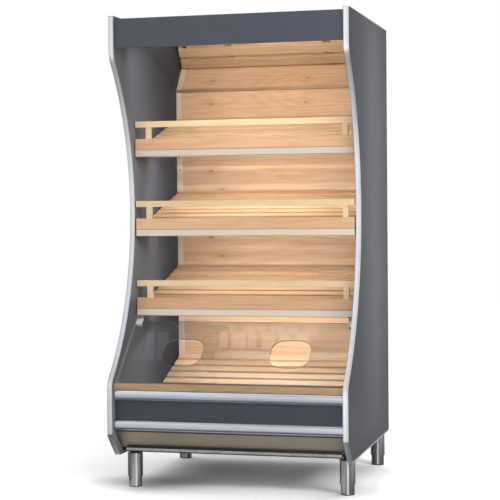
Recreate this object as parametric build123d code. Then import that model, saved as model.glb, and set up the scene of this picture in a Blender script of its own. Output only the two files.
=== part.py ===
from build123d import *
from math import cos, radians, sin, sqrt, tan
import os

# Bakery display rack with slanted slatted shelves, built up from its separate pieces.
# Millimetres, +Z up.  The front of the rack faces -Y, and +X is on the right of a
# person who stands in front of it.  The origin is on the floor, under the middle of
# the rack.  Every piece is written to its own file in the folder parts.

# Overall size
WIDTH = 1040.0
DEPTH = 1000.0
HEIGHT = 2035.0
GROUND_GAP = 156.0  # floor to the lower edge of the side panels

# Side panels and the trim on their edges
PANEL_T = 23.0
TRIM_T = 2.0
TOP_SETBACK = 69.0  # the upper front stands this far behind the foot of the panel
BROW_DROP = 176.7  # the upper straight front ends this far below the top
WAIST_SETBACK = 323.0  # deepest point of the curved front
LOW_FRONT_RISE = 5.0  # the lower straight front ends this far above the bin's lip
TOE_CHAMFER = 95.0
BROW_RADIUS = 65.0  # rounding where the curve meets the straight front
KNEE_RADIUS = 20.0
TIP_RADIUS = 8.0

# Fascia and roof
FASCIA_SETBACK = 12.0
FASCIA_T = 22.0
FASCIA_H = 124.0
ROOF_DROP = 12.0
ROOF_T = 22.0

# Rear: closing panel, wooden wall and the two uprights
REAR_RECESS = 10.0
REAR_T = 12.0
WALL_T = 22.0
UPRIGHT_W = 25.0
UPRIGHT_D = 28.0
UPRIGHT_WALL = 2.0
SPARE_HOLE_R = 3.0
SPARE_HOLE_RISE = 16.0  # upper spare hole above the underside of the top shelf
SPARE_HOLE_PITCH = 60.0
SPARE_HOLES = 2

# Slanted mirror under the roof
MIRROR_DROP = 259.0  # lower edge of the mirror below the top of the rack
MIRROR_LAMP_GAP = 62.2  # lamp to the line where the mirror meets the roof
MIRROR_T = 4.0
MIRROR_BACKING_T = 10.0
LEDGE_D = 8.0
LEDGE_H = 5.0

# Lamp channels
LAMP_WALL = 2.0
LAMP_COVER_T = 3.0
CANOPY_LAMP_GAP = 42.0  # fascia to lamp
CANOPY_LAMP_W = 50.0
CANOPY_LAMP_H = 63.0
CANOPY_LAMP_RECESS = 4.0
CANOPY_LAMP_END = 17.0
SHELF_LAMP_BACK = 141.0  # board to lamp
SHELF_LAMP_W = 42.0
SHELF_LAMP_H = 28.0
SHELF_LAMP_RISE = 4.0
SHELF_LAMP_RECESS = 8.0
DRIVER_L = 180.0
DRIVER_W = 45.0
DRIVER_H = 30.0
DRIVER_SETBACK = 358.0  # middle of the driver in front of the back of the rack

# Shelves
SHELF_COUNT = 3
TOP_SHELF_DROP = 593.0  # underside of the top front board below the top of the rack
SHELF_GAP = 6.0  # front board to side panel
SHELF_FRONT_SETBACK = 322.0
SHELF_ANGLE = 16.0
BOARD_T = 22.0
BOARD_H = 79.0
STRIP_T = 5.0
STRIP_H = 32.5
STRIP_GROOVE = 1.5
SLAT_W = 45.0
SLAT_T = 12.0
SLAT_ROUND = 3.0
SLAT_PITCH = 63.0
SLAT_END_GAP = 11.0
SHELF_SLAT_RISE = 32.0  # slat tops above the board's underside, at the board
SHELF_SLAT_CLEAR = 4.0  # board to first slat, and the least from the last slat to the uprights
RAIL_H = 26.0
RAIL_D = 20.0
RAIL_RISE = 130.0
POST_W = 24.0
POST_D = 17.0
POST_INSET_LEFT = 48.0
POST_INSET_RIGHT = 27.0
BEARER_W = 30.0
BEARER_H = 18.0
BEARER_INSET = 257.0  # side panel to the middle of a bearer
ARM_T = 4.0
ARM_H = 45.0
ARM_RISE = 3.0

# Hooks that carry the shelf arms
PIN_R = 4.0
PIN_CLEAR = 0.08
PIN_BACK = 12.0  # pivot to the face of the upright
PIN_DROP = 20.0  # pivot below the top edge of the arm
HOOK_T = 4.0
HOOK_GAP = 3.0
HOOK_WALL = 6.0
HEEL_GAP = 0.3

# Bread bin: slatted floor, lip and lining
DECK_ANGLE = 21.0
DECK_REAR_RISE = 316.0  # rear edge of the slat tops above the base floor
DECK_REAR_GAP = 10.0
DECK_FOOT_GAP = 120.0  # least distance from the lip back to the first slat
DECK_BEARER_W = 18.0
DECK_BEARER_INSET = 77.0
LIP_H = 26.0
LIP_D = 45.0
LIP_SETBACK = 22.0
LIP_ROUND = 5.0
LINING_T = 8.0
LINING_CLEAR = 3.0
BIN_MOUTH = 268.0  # lip to the lowest shelf

# Lower front: panel, bumpers and kick plate
FRONT_PANEL_RISE = 110.0  # its lower edge above that of the side panels
FRONT_PANEL_H = 180.0
FRONT_PANEL_SETBACK = 36.0
FRONT_PANEL_T = 19.0
BUMPER_H = 45.0
BUMPER_D = 18.0
BUMPER_ROUND = 14.0
BUMPER_WALL = 2.5
LOWER_BUMPER_RISE = 52.0  # its top above the lower edge of the front panel
KICK_T = 3.0

# Base frame
BASE_FLOOR_T = 3.0
BASE_FLOOR_RISE = 34.0  # its underside above the lower edge of the side panels
BASE_RAIL_INSET = 25.0
BASE_RAIL_H = 15.0
BASE_RAIL_D = 24.0
BASE_RAIL_DROP = 3.0
BASE_RAIL_LEAD = 8.0  # the front rail stands this far in front of the floor sheet
FRAME_RAIL_W = 25.0
FRAME_RAIL_H = 40.0

# Legs
LEG_INSET = 24.5  # side panel's inner face to the axis of the leg
LEG_FRONT_SETBACK = 220.0
LEG_REAR_SETBACK = 40.0
LEG_R = 33.0
LEG_WALL = 3.6
LEG_CAP = 8.0
LEG_GAP = 8.0  # leg to the lower edge of the side panel
FOOT_SHOWS = 46.0
FOOT_CLEAR = 0.4
FOOT_BODY_H = 92.0
FOOT_CHAMFER = 3.0
SPINDLE_R = 7.0
SPINDLE_REACH = 32.0  # spindle above the top of the leg
BLOCK_W = 63.0
BLOCK_REACH = 35.0  # block past the axis of the leg, away from the rail
SPINDLE_SPACE = 4.0
BLOCK_RISE = 24.0  # underside of the block above the top of the leg
NECK_R = 17.0  # round neck of the block, which stands on the leg

# Front pane of the bin and its hinges
HINGE_SETBACK = 324.0
HINGE_DROP = 20.0  # axis below the lowest shelf
PANE_ANGLE = 48.0  # from the vertical
PANE_T = 5.0
PANE_END_GAP = 9.0
PANE_START = 8.0
PANE_REST_GAP = 0.3
PANE_CORNER = 12.0
HAND_HOLE_W = 174.0
HAND_HOLE_H = 156.0
HAND_HOLE_ROUND = 58.0
HAND_HOLE_X = 237.0
HAND_HOLE_DOWN = 190.0  # hole centre from the hinge axis, along the pane
CLIP_W = 26.0
CLIP_L = 34.0
CLIP_T = 16.0
CLIP_HEAD_R = 9.0
CLIP_SIDE_GAP = 0.5
HINGE_PIN_R = 3.0
HINGE_PIN_CLEAR = 0.05
HINGE_EAR_T = 6.0
HINGE_EAR_W = 24.0
HINGE_EAR_DROP = 11.0
HINGE_PLATE_T = 8.0
HINGE_PLATE_D = 32.0
HINGE_PLATE_RISE = 11.0

# Power inlet on the rear panel
INLET_INSET = 97.0
INLET_RISE = 107.0  # middle of the inlet above the base floor
INLET_PLATE_W = 60.0
INLET_PLATE_H = 40.0
INLET_PLATE_T = 3.0
INLET_COLLAR_W = 32.0
INLET_COLLAR_H = 24.0
INLET_COLLAR_T = 6.0
INLET_WALL = 3.0

# Planes that several pieces share
Y_FRONT = -DEPTH / 2
Y_BACK = DEPTH / 2
Y_TOP_FRONT = Y_FRONT + TOP_SETBACK
X_INNER = WIDTH / 2 - PANEL_T
Z_ROOF_TOP = HEIGHT - ROOF_DROP
Z_ROOF_UNDER = Z_ROOF_TOP - ROOF_T
Y_REAR_FACE = Y_BACK - REAR_RECESS
Y_REAR_INNER = Y_REAR_FACE - REAR_T
Y_UPRIGHT = Y_REAR_INNER - UPRIGHT_D
Y_FASCIA = Y_TOP_FRONT + FASCIA_SETBACK
Y_CANOPY_LAMP = Y_FASCIA + FASCIA_T + CANOPY_LAMP_GAP
Z_MIRROR_EDGE = HEIGHT - MIRROR_DROP
Z_FLOOR_UNDER = GROUND_GAP + BASE_FLOOR_RISE
Z_FLOOR_TOP = Z_FLOOR_UNDER + BASE_FLOOR_T
Z_PANEL_LOW = GROUND_GAP + FRONT_PANEL_RISE
Z_PANEL_HIGH = Z_PANEL_LOW + FRONT_PANEL_H
Y_PANEL_FRONT = Y_FRONT + FRONT_PANEL_SETBACK
Y_LIP_FRONT = Y_FRONT + LIP_SETBACK
Z_LIP_TOP = Z_PANEL_HIGH + LIP_H
Z_SHELF_LOWEST = Z_LIP_TOP + BIN_MOUTH
Z_SHELF_TOP = HEIGHT - TOP_SHELF_DROP
SHELF_SPACING = (Z_SHELF_TOP - Z_SHELF_LOWEST) / (SHELF_COUNT - 1)
Y_SHELF_FRONT = Y_FRONT + SHELF_FRONT_SETBACK
Y_BOARD_BACK = Y_SHELF_FRONT + BOARD_T
X_SHELF = X_INNER - SHELF_GAP
X_ARM = X_INNER - SLAT_END_GAP
Y_HINGE = Y_FRONT + HINGE_SETBACK
Z_HINGE = Z_SHELF_LOWEST - HINGE_DROP
LEG_X = X_INNER - LEG_INSET
Y_LEG_FRONT = Y_FRONT + LEG_FRONT_SETBACK
Y_LEG_REAR = Y_BACK - LEG_REAR_SETBACK
Z_LEG_TOP = GROUND_GAP - LEG_GAP
Z_SPINDLE_TOP = Z_LEG_TOP + SPINDLE_REACH
Z_BLOCK_UNDER = Z_LEG_TOP + BLOCK_RISE

nodes = {}


def box(x0, x1, y0, y1, z0, z1):
    """A block between two opposite corners."""
    return Pos((x0 + x1) / 2, (y0 + y1) / 2, (z0 + z1) / 2) * Box(x1 - x0, y1 - y0, z1 - z0)


def profile(points, x0, x1):
    """A closed (y, z) outline drawn out from x0 to x1."""
    face = make_face(Plane.YZ * Polyline(*points, close=True))
    return Pos(x0, 0, 0) * extrude(face, amount=x1 - x0)


def rod(x0, x1, y, z, radius):
    """A round bar along X."""
    return Pos((x0 + x1) / 2, y, z) * Rot(0, 90, 0) * Cylinder(radius, x1 - x0)


def both_sides(piece):
    """A piece and its mirror image on the other side of the rack."""
    return [piece, mirror(piece, about=Plane.YZ)]


def slope_face(y, z, angle):
    """Section plane at (y, z) whose first axis climbs towards the back."""
    up = radians(angle)
    return Plane(origin=(0, y, z), x_dir=(0, cos(up), sin(up)), z_dir=(1, 0, 0))


def slats_in(run, angle):
    """How many slats fit on a slope that is run long, measured level."""
    return int((run / cos(radians(angle)) - SLAT_W) / SLAT_PITCH) + 1


def slats_depth(count, angle):
    """Level distance that a number of slats takes on a slope."""
    return ((count - 1) * SLAT_PITCH + SLAT_W) * cos(radians(angle))


def slat_run(count, y_first, z_first, angle, half_length):
    """Equal slats whose tops lie on a slope; (y_first, z_first) is the top front edge."""
    up = radians(angle)
    slats = []
    for index in range(count):
        along = index * SLAT_PITCH + SLAT_W / 2
        y = y_first + along * cos(up) + SLAT_T / 2 * sin(up)
        z = z_first + along * sin(up) - SLAT_T / 2 * cos(up)
        section = slope_face(y, z, angle) * RectangleRounded(SLAT_W, SLAT_T, SLAT_ROUND)
        slats.append(Pos(-half_length, 0, 0) * extrude(section, amount=2 * half_length))
    return slats


def lamp_channel(half_length, y0, width, z0, height, recess):
    """A channel that is open below, and the flat cover set up inside its mouth."""
    y1 = y0 + width
    shell = box(-half_length, half_length, y0, y1, z0, z0 + height)
    inner = half_length - LAMP_WALL
    shell -= box(-inner, inner, y0 + LAMP_WALL, y1 - LAMP_WALL, z0, z0 + height - LAMP_WALL)
    cover = box(-inner, inner, y0 + LAMP_WALL, y1 - LAMP_WALL, z0 + recess, z0 + recess + LAMP_COVER_T)
    return shell, cover


def waist_arc():
    """Radius and centre height of the curved front, which is upright at its deepest point."""
    low = WAIST_SETBACK
    high = WAIST_SETBACK - TOP_SETBACK
    z_start = Z_LIP_TOP + LOW_FRONT_RISE
    rise = HEIGHT - BROW_DROP - z_start
    a = high - low
    b = 2 * low * rise
    c = low * (high * low - rise**2 - high**2)
    below = -2 * c / (b + sqrt(b**2 - 4 * a * c))
    return (below**2 + low**2) / (2 * low), z_start + below


def side_outline(inset):
    """Side panel's outline, drawn in by inset at the front, top and bottom."""
    front_top = Y_TOP_FRONT + inset
    front_low = Y_FRONT + inset
    top = HEIGHT - inset
    bottom = GROUND_GAP + inset
    waist_radius, waist_z = waist_arc()
    radius = waist_radius + inset
    centre_y = Y_FRONT + WAIST_SETBACK - waist_radius
    z_upper = waist_z + sqrt(radius**2 - (front_top - centre_y) ** 2)
    z_lower = waist_z - sqrt(radius**2 - (front_low - centre_y) ** 2)
    slope_sum = Y_FRONT + GROUND_GAP + TOE_CHAMFER + inset * sqrt(2)
    knee = (front_low, slope_sum - front_low)
    toe = (slope_sum - bottom, bottom)
    outline = [
        Line((Y_BACK, bottom), (Y_BACK, top)),
        Line((Y_BACK, top), (front_top, top)),
        Line((front_top, top), (front_top, z_upper)),
        ThreePointArc((front_top, z_upper), (centre_y + radius, waist_z), (front_low, z_lower)),
        Line((front_low, z_lower), knee),
        Line(knee, toe),
        Line(toe, (Y_BACK, bottom)),
    ]
    face = make_face(outline)
    corners = [
        ((front_top, top), TIP_RADIUS),
        ((front_top, z_upper), BROW_RADIUS),
        ((front_low, z_lower), BROW_RADIUS),
        (knee, KNEE_RADIUS),
        (toe, TIP_RADIUS),
    ]
    for (y, z), corner_radius in corners:
        corner = face.vertices().sort_by_distance((y, z, 0))[0]
        face = fillet(corner, corner_radius - inset)
    return Plane.YZ * face


def side_panels():
    """Curved side panels and the trim that wraps their front, top and lower edges."""
    core = extrude(side_outline(TRIM_T), amount=PANEL_T)
    trim = extrude(side_outline(0) - side_outline(TRIM_T), amount=PANEL_T)
    for name, x in (("left", -WIDTH / 2), ("right", X_INNER)):
        nodes["side_panel_" + name] = [Pos(x, 0, 0) * core]
        nodes["edge_trim_" + name] = [Pos(x, 0, 0) * trim]


def canopy():
    """Fascia, roof, the lamp behind the fascia and its driver."""
    y_behind = Y_FASCIA + FASCIA_T
    z_fascia = Z_ROOF_TOP - FASCIA_H
    nodes["fascia_panel"] = [box(-X_INNER, X_INNER, Y_FASCIA, y_behind, z_fascia, Z_ROOF_TOP)]
    nodes["roof_panel"] = [box(-X_INNER, X_INNER, y_behind, Y_REAR_FACE, Z_ROOF_UNDER, Z_ROOF_TOP)]
    z_lamp = Z_ROOF_UNDER - CANOPY_LAMP_H
    half = X_INNER - CANOPY_LAMP_END
    shell, cover = lamp_channel(
        half, Y_CANOPY_LAMP, CANOPY_LAMP_W, z_lamp, CANOPY_LAMP_H, CANOPY_LAMP_RECESS
    )
    nodes["canopy_lamp"] = [shell]
    nodes["canopy_lamp_cover"] = [cover]
    y_driver = Y_BACK - DRIVER_SETBACK - DRIVER_W / 2
    half = DRIVER_L / 2
    nodes["lamp_driver"] = [
        box(-half, half, y_driver, y_driver + DRIVER_W, Z_ROOF_UNDER - DRIVER_H, Z_ROOF_UNDER)
    ]


def mirror_pieces():
    """Mirror that slopes from the wall up to the roof, its backing and the ledge at its foot."""
    y_foot = Y_UPRIGHT - HEEL_GAP
    y_meet = Y_CANOPY_LAMP + CANOPY_LAMP_W + MIRROR_LAMP_GAP
    rise = (Z_ROOF_UNDER - Z_MIRROR_EDGE) / (y_foot - y_meet)
    stretch = sqrt(1 + rise**2)

    def sheet(z_face, thickness):
        tall = thickness * stretch
        y_face_end = y_foot - (Z_ROOF_UNDER - z_face) / rise
        y_back_end = y_foot - (Z_ROOF_UNDER - z_face - tall) / rise
        points = [
            (y_foot, z_face),
            (y_foot, z_face + tall),
            (y_back_end, Z_ROOF_UNDER),
            (y_face_end, Z_ROOF_UNDER),
        ]
        return profile(points, -X_INNER, X_INNER)

    nodes["mirror"] = [sheet(Z_MIRROR_EDGE, MIRROR_T)]
    nodes["mirror_backing"] = [sheet(Z_MIRROR_EDGE + MIRROR_T * stretch, MIRROR_BACKING_T)]
    z_low = Z_MIRROR_EDGE - LEDGE_H
    ledge = [
        (Y_UPRIGHT, z_low),
        (Y_UPRIGHT, Z_MIRROR_EDGE - HEEL_GAP * rise),
        (Y_UPRIGHT - LEDGE_D, Z_MIRROR_EDGE + (LEDGE_D - HEEL_GAP) * rise),
        (Y_UPRIGHT - LEDGE_D, z_low),
    ]
    nodes["mirror_ledge"] = [profile(ledge, -X_INNER, X_INNER)]


def slat_top(shelf_z, y):
    """Height of a shelf's slat tops at y."""
    return shelf_z + SHELF_SLAT_RISE + (y - Y_BOARD_BACK) * tan(radians(SHELF_ANGLE))


def arm_top(shelf_z, y):
    """Height of the arms and bearers under the slats at y."""
    return slat_top(shelf_z, y) - SLAT_T / cos(radians(SHELF_ANGLE))


def shelf_pivot(shelf_z):
    """Centre (y, z) of the pins that a shelf hangs on."""
    y = Y_UPRIGHT - PIN_BACK
    return y, arm_top(shelf_z, y) - PIN_DROP


def hook(shelf_z):
    """Right-hand hook plate: its notch is open above and holds a shelf pin."""
    y, z = shelf_pivot(shelf_z)
    x0 = X_ARM + HOOK_GAP
    x1 = x0 + HOOK_T
    reach = PIN_R + HOOK_WALL
    plate = box(x0, x1, y - reach, Y_UPRIGHT, z - reach, z + PIN_R)
    plate -= rod(x0, x1, y, z, PIN_R + PIN_CLEAR)
    slot = PIN_R + PIN_CLEAR
    plate -= box(x0, x1, y - slot, y + slot, z, z + reach)
    return plate


def rear_wall():
    """Rear panel, wooden wall, and the hollow uprights with their hooks and spare holes."""
    nodes["rear_panel"] = [box(-X_INNER, X_INNER, Y_REAR_INNER, Y_REAR_FACE, GROUND_GAP, Z_ROOF_UNDER)]
    x_wall = X_INNER - UPRIGHT_W
    y_wall = Y_REAR_INNER - WALL_T
    nodes["back_wall"] = [box(-x_wall, x_wall, y_wall, Y_REAR_INNER, Z_FLOOR_TOP, Z_ROOF_UNDER)]
    upright = box(x_wall, X_INNER, Y_UPRIGHT, Y_REAR_INNER, Z_FLOOR_TOP, Z_ROOF_UNDER)
    upright -= box(
        x_wall + UPRIGHT_WALL,
        X_INNER - UPRIGHT_WALL,
        Y_UPRIGHT + UPRIGHT_WALL,
        Y_REAR_INNER - UPRIGHT_WALL,
        Z_FLOOR_TOP,
        Z_ROOF_UNDER,
    )
    hole = Rot(90, 0, 0) * Cylinder(SPARE_HOLE_R, 3 * UPRIGHT_WALL)
    hole = Pos(x_wall + UPRIGHT_W / 2, Y_UPRIGHT, 0) * hole
    z_spare = shelf_height(SHELF_COUNT - 1) + SPARE_HOLE_RISE
    for step in range(SPARE_HOLES):
        upright -= Pos(0, 0, z_spare - step * SPARE_HOLE_PITCH) * hole
    for index in range(SHELF_COUNT):
        upright += hook(shelf_height(index))
    nodes["uprights"] = both_sides(upright)


def shelf_height(index):
    """Underside of a shelf's front board, counted from the lowest shelf."""
    return Z_SHELF_LOWEST + index * SHELF_SPACING


def shelf_front(name, z):
    """Front board, price strip let into it, and the rail on two posts above."""
    y0 = Y_SHELF_FRONT
    board = [
        (y0 + STRIP_T, z),
        (Y_BOARD_BACK, z),
        (Y_BOARD_BACK, z + BOARD_H),
        (y0, z + BOARD_H),
        (y0, z + STRIP_H),
        (y0 + STRIP_T, z + STRIP_H),
    ]
    nodes[name + "_front_board"] = [profile(board, -X_SHELF, X_SHELF)]
    groove_top = z + STRIP_H - STRIP_GROOVE
    strip = [
        (y0, z),
        (y0 + STRIP_T, z),
        (y0 + STRIP_T, z + STRIP_H),
        (y0 + STRIP_GROOVE, z + STRIP_H),
        (y0 + STRIP_GROOVE, groove_top),
        (y0, groove_top - STRIP_GROOVE),
    ]
    nodes[name + "_price_strip"] = [profile(strip, -X_SHELF, X_SHELF)]
    z_rail = z + RAIL_RISE
    x_left = POST_INSET_LEFT - X_SHELF
    x_right = X_SHELF - POST_INSET_RIGHT
    nodes[name + "_rail"] = [
        box(-X_SHELF, X_SHELF, y0, y0 + RAIL_D, z_rail, z_rail + RAIL_H),
        box(x_left, x_left + POST_W, y0, y0 + POST_D, z + BOARD_H, z_rail),
        box(x_right - POST_W, x_right, y0, y0 + POST_D, z + BOARD_H, z_rail),
    ]


def shelf_arm(z):
    """Right-hand steel arm with the pin at its rear end."""
    pivot_y, pivot_z = shelf_pivot(z)
    run = tan(radians(SHELF_ANGLE))
    z_bottom = z + ARM_RISE
    y_bend = Y_BOARD_BACK + (z_bottom + ARM_H - arm_top(z, Y_BOARD_BACK)) / run
    y_heel = Y_UPRIGHT - HEEL_GAP
    y_end = pivot_y + PIN_R
    points = [
        (Y_BOARD_BACK, z_bottom),
        (y_bend, z_bottom),
        (y_heel, z_bottom + (y_heel - y_bend) * run),
        (y_heel, pivot_z - PIN_R),
        (y_end, arm_top(z, y_end)),
        (Y_BOARD_BACK, arm_top(z, Y_BOARD_BACK)),
    ]
    arm = profile(points, X_ARM - ARM_T, X_ARM)
    return arm + rod(X_ARM, X_ARM + HOOK_GAP + HOOK_T, pivot_y, pivot_z, PIN_R)


def shelf(index):
    """One tilting shelf: slats on bearers and arms, its front, and the lamp below."""
    name = f"shelf_{index + 1}"
    z = shelf_height(index)
    shelf_front(name, z)
    y_first = Y_BOARD_BACK + SHELF_SLAT_CLEAR
    half = X_ARM
    count = slats_in(Y_UPRIGHT - SHELF_SLAT_CLEAR - y_first, SHELF_ANGLE)
    nodes[name + "_slats"] = slat_run(count, y_first, slat_top(z, y_first), SHELF_ANGLE, half)
    nodes[name + "_arms"] = both_sides(shelf_arm(z))
    y_last = y_first + slats_depth(count, SHELF_ANGLE)
    tall = BEARER_H / cos(radians(SHELF_ANGLE))
    points = [
        (Y_BOARD_BACK, arm_top(z, Y_BOARD_BACK) - tall),
        (y_last, arm_top(z, y_last) - tall),
        (y_last, arm_top(z, y_last)),
        (Y_BOARD_BACK, arm_top(z, Y_BOARD_BACK)),
    ]
    x_bearer = X_INNER - BEARER_INSET - BEARER_W / 2
    nodes[name + "_bearers"] = both_sides(profile(points, x_bearer, x_bearer + BEARER_W))
    shell, cover = lamp_channel(
        X_ARM - ARM_T,
        Y_BOARD_BACK + SHELF_LAMP_BACK,
        SHELF_LAMP_W,
        z + SHELF_LAMP_RISE,
        SHELF_LAMP_H,
        SHELF_LAMP_RECESS,
    )
    nodes[name + "_lamp"] = [shell]
    nodes[name + "_lamp_cover"] = [cover]


def deck_top(y):
    """Height of the bin floor's slat tops at y."""
    rear = Z_FLOOR_TOP + DECK_REAR_RISE
    return rear + (y - Y_UPRIGHT + DECK_REAR_GAP) * tan(radians(DECK_ANGLE))


def bread_bin():
    """Slatted sloping floor on wedge bearers, the wooden lip and the lining in front."""
    up = radians(DECK_ANGLE)
    y_rear = Y_UPRIGHT - DECK_REAR_GAP
    y_lip_back = Y_LIP_FRONT + LIP_D
    thick = SLAT_T / cos(up)
    run = min(y_rear - y_lip_back - DECK_FOOT_GAP, (DECK_REAR_RISE - thick) / tan(up))
    count = slats_in(run, DECK_ANGLE)
    y_first = y_rear - slats_depth(count, DECK_ANGLE)
    nodes["deck_slats"] = slat_run(count, y_first, deck_top(y_first), DECK_ANGLE, X_ARM)
    wedge = [
        (y_first, Z_FLOOR_TOP),
        (Y_REAR_INNER - WALL_T, Z_FLOOR_TOP),
        (Y_REAR_INNER - WALL_T, deck_top(Y_REAR_INNER - WALL_T) - thick),
        (y_first, deck_top(y_first) - thick),
    ]
    half = DECK_BEARER_W / 2
    x_outer = X_INNER - DECK_BEARER_INSET
    places = (-x_outer, 0, x_outer)
    nodes["deck_bearers"] = [profile(wedge, x - half, x + half) for x in places]
    lip = box(-X_INNER, X_INNER, Y_LIP_FRONT, y_lip_back, Z_PANEL_HIGH, Z_LIP_TOP)
    upper_edges = lip.edges().filter_by(Axis.X).group_by(Axis.Z)[-1]
    nodes["bin_lip"] = [fillet(upper_edges, LIP_ROUND)]
    y_foot = y_first - LINING_CLEAR
    lining = [
        (y_lip_back - LINING_T, Z_PANEL_HIGH),
        (y_foot - LINING_T, Z_FLOOR_TOP),
        (y_foot, Z_FLOOR_TOP),
        (y_lip_back, Z_PANEL_HIGH),
    ]
    nodes["bin_lining"] = [profile(lining, -X_INNER, X_INNER)]


def bumper(z_top):
    """Hollow bumper profile with a rounded front."""
    y1 = Y_PANEL_FRONT
    y0 = y1 - BUMPER_D
    z0 = z_top - BUMPER_H
    bar = box(-X_INNER, X_INNER, y0, y1, z0, z_top)
    bar = fillet(bar.edges().filter_by(Axis.X).group_by(Axis.Y)[0], BUMPER_ROUND)
    w = BUMPER_WALL
    core = box(-X_INNER, X_INNER, y0 + w, y1 - w, z0 + w, z_top - w)
    core = fillet(core.edges().filter_by(Axis.X).group_by(Axis.Y)[0], BUMPER_ROUND - w)
    return bar - core


def lower_front():
    """Front panel of the base with its two bumpers, and the sloping kick plate."""
    y1 = Y_PANEL_FRONT + FRONT_PANEL_T
    nodes["front_panel"] = [
        box(-X_INNER, X_INNER, Y_PANEL_FRONT, y1, Z_PANEL_LOW, Z_PANEL_HIGH)
    ]
    nodes["bumper_upper"] = [bumper(Z_PANEL_HIGH)]
    nodes["bumper_lower"] = [bumper(Z_PANEL_LOW + LOWER_BUMPER_RISE)]
    wide = KICK_T * sqrt(2)
    y_foot = kick_foot()
    kick = [
        (Y_PANEL_FRONT, Z_PANEL_LOW),
        (y_foot, Z_FLOOR_TOP),
        (y_foot + wide, Z_FLOOR_TOP),
        (Y_PANEL_FRONT + wide, Z_PANEL_LOW),
    ]
    nodes["kick_plate"] = [profile(kick, -X_INNER, X_INNER)]


def kick_foot():
    """Front of the kick plate where it stands on the base floor: it falls at 45 degrees."""
    return Y_PANEL_FRONT + Z_PANEL_LOW - Z_FLOOR_TOP


def base_frame():
    """Base floor, its front rail and the rails between the leg blocks."""
    y_floor = kick_foot()
    nodes["base_floor"] = [box(-X_INNER, X_INNER, y_floor, Y_REAR_INNER, Z_FLOOR_UNDER, Z_FLOOR_TOP)]
    y_rail = y_floor - BASE_RAIL_LEAD
    z_rail = Z_FLOOR_UNDER - BASE_RAIL_DROP
    y_blocks = y_rail + BASE_RAIL_D
    x_rail = X_INNER - BASE_RAIL_INSET
    nodes["base_front_rail"] = [
        box(-x_rail, x_rail, y_rail, y_blocks, z_rail - BASE_RAIL_H, z_rail)
    ]
    z0 = Z_FLOOR_UNDER - FRAME_RAIL_H
    y_front = Y_LEG_FRONT + BLOCK_REACH
    y_rear = Y_LEG_REAR - BLOCK_REACH
    side = box(X_INNER - FRAME_RAIL_W, X_INNER, y_front, y_rear, z0, Z_FLOOR_UNDER)
    x_rear = X_INNER - BLOCK_W
    rear = box(-x_rear, x_rear, Y_REAR_INNER - FRAME_RAIL_W, Y_REAR_INNER, z0, Z_FLOOR_UNDER)
    nodes["base_frame_rails"] = [*both_sides(side), rear]
    blocks = []
    for y0, y1, y_leg in ((y_blocks, y_front, Y_LEG_FRONT), (y_rear, Y_REAR_INNER, Y_LEG_REAR)):
        block = box(X_INNER - BLOCK_W, X_INNER, y0, y1, Z_BLOCK_UNDER, Z_FLOOR_UNDER)
        block += Pos(LEG_X, y_leg, (Z_LEG_TOP + Z_BLOCK_UNDER) / 2) * Cylinder(NECK_R, BLOCK_RISE)
        space_top = Z_SPINDLE_TOP + SPINDLE_SPACE
        space = Cylinder(SPINDLE_R + FOOT_CLEAR, space_top - Z_LEG_TOP)
        block -= Pos(LEG_X, y_leg, (Z_LEG_TOP + space_top) / 2) * space
        blocks += both_sides(block)
    nodes["leg_blocks"] = blocks


def legs():
    """Leg tubes with a drilled cap, and the adjustable feet that slide in them."""
    bore = LEG_R - LEG_WALL
    height = Z_LEG_TOP - FOOT_SHOWS
    tube = Pos(0, 0, FOOT_SHOWS + height / 2) * Cylinder(LEG_R, height)
    tube -= Pos(0, 0, FOOT_SHOWS + (height - LEG_CAP) / 2) * Cylinder(bore, height - LEG_CAP)
    tube -= Pos(0, 0, Z_LEG_TOP - LEG_CAP / 2) * Cylinder(SPINDLE_R + PIN_CLEAR, LEG_CAP)
    foot = Pos(0, 0, FOOT_BODY_H / 2) * Cylinder(bore - FOOT_CLEAR, FOOT_BODY_H)
    foot = chamfer(foot.edges().group_by(Axis.Z)[0], FOOT_CHAMFER)
    spindle = Cylinder(SPINDLE_R, Z_SPINDLE_TOP - FOOT_BODY_H)
    foot += Pos(0, 0, (FOOT_BODY_H + Z_SPINDLE_TOP) / 2) * spindle
    tubes = []
    for end, y in (("front", Y_LEG_FRONT), ("rear", Y_LEG_REAR)):
        for side, x in (("left", -LEG_X), ("right", LEG_X)):
            tubes.append(Pos(x, y, 0) * tube)
            nodes[f"foot_{end}_{side}"] = [Pos(x, y, 0) * foot]
    nodes["leg_tubes"] = tubes


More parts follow.
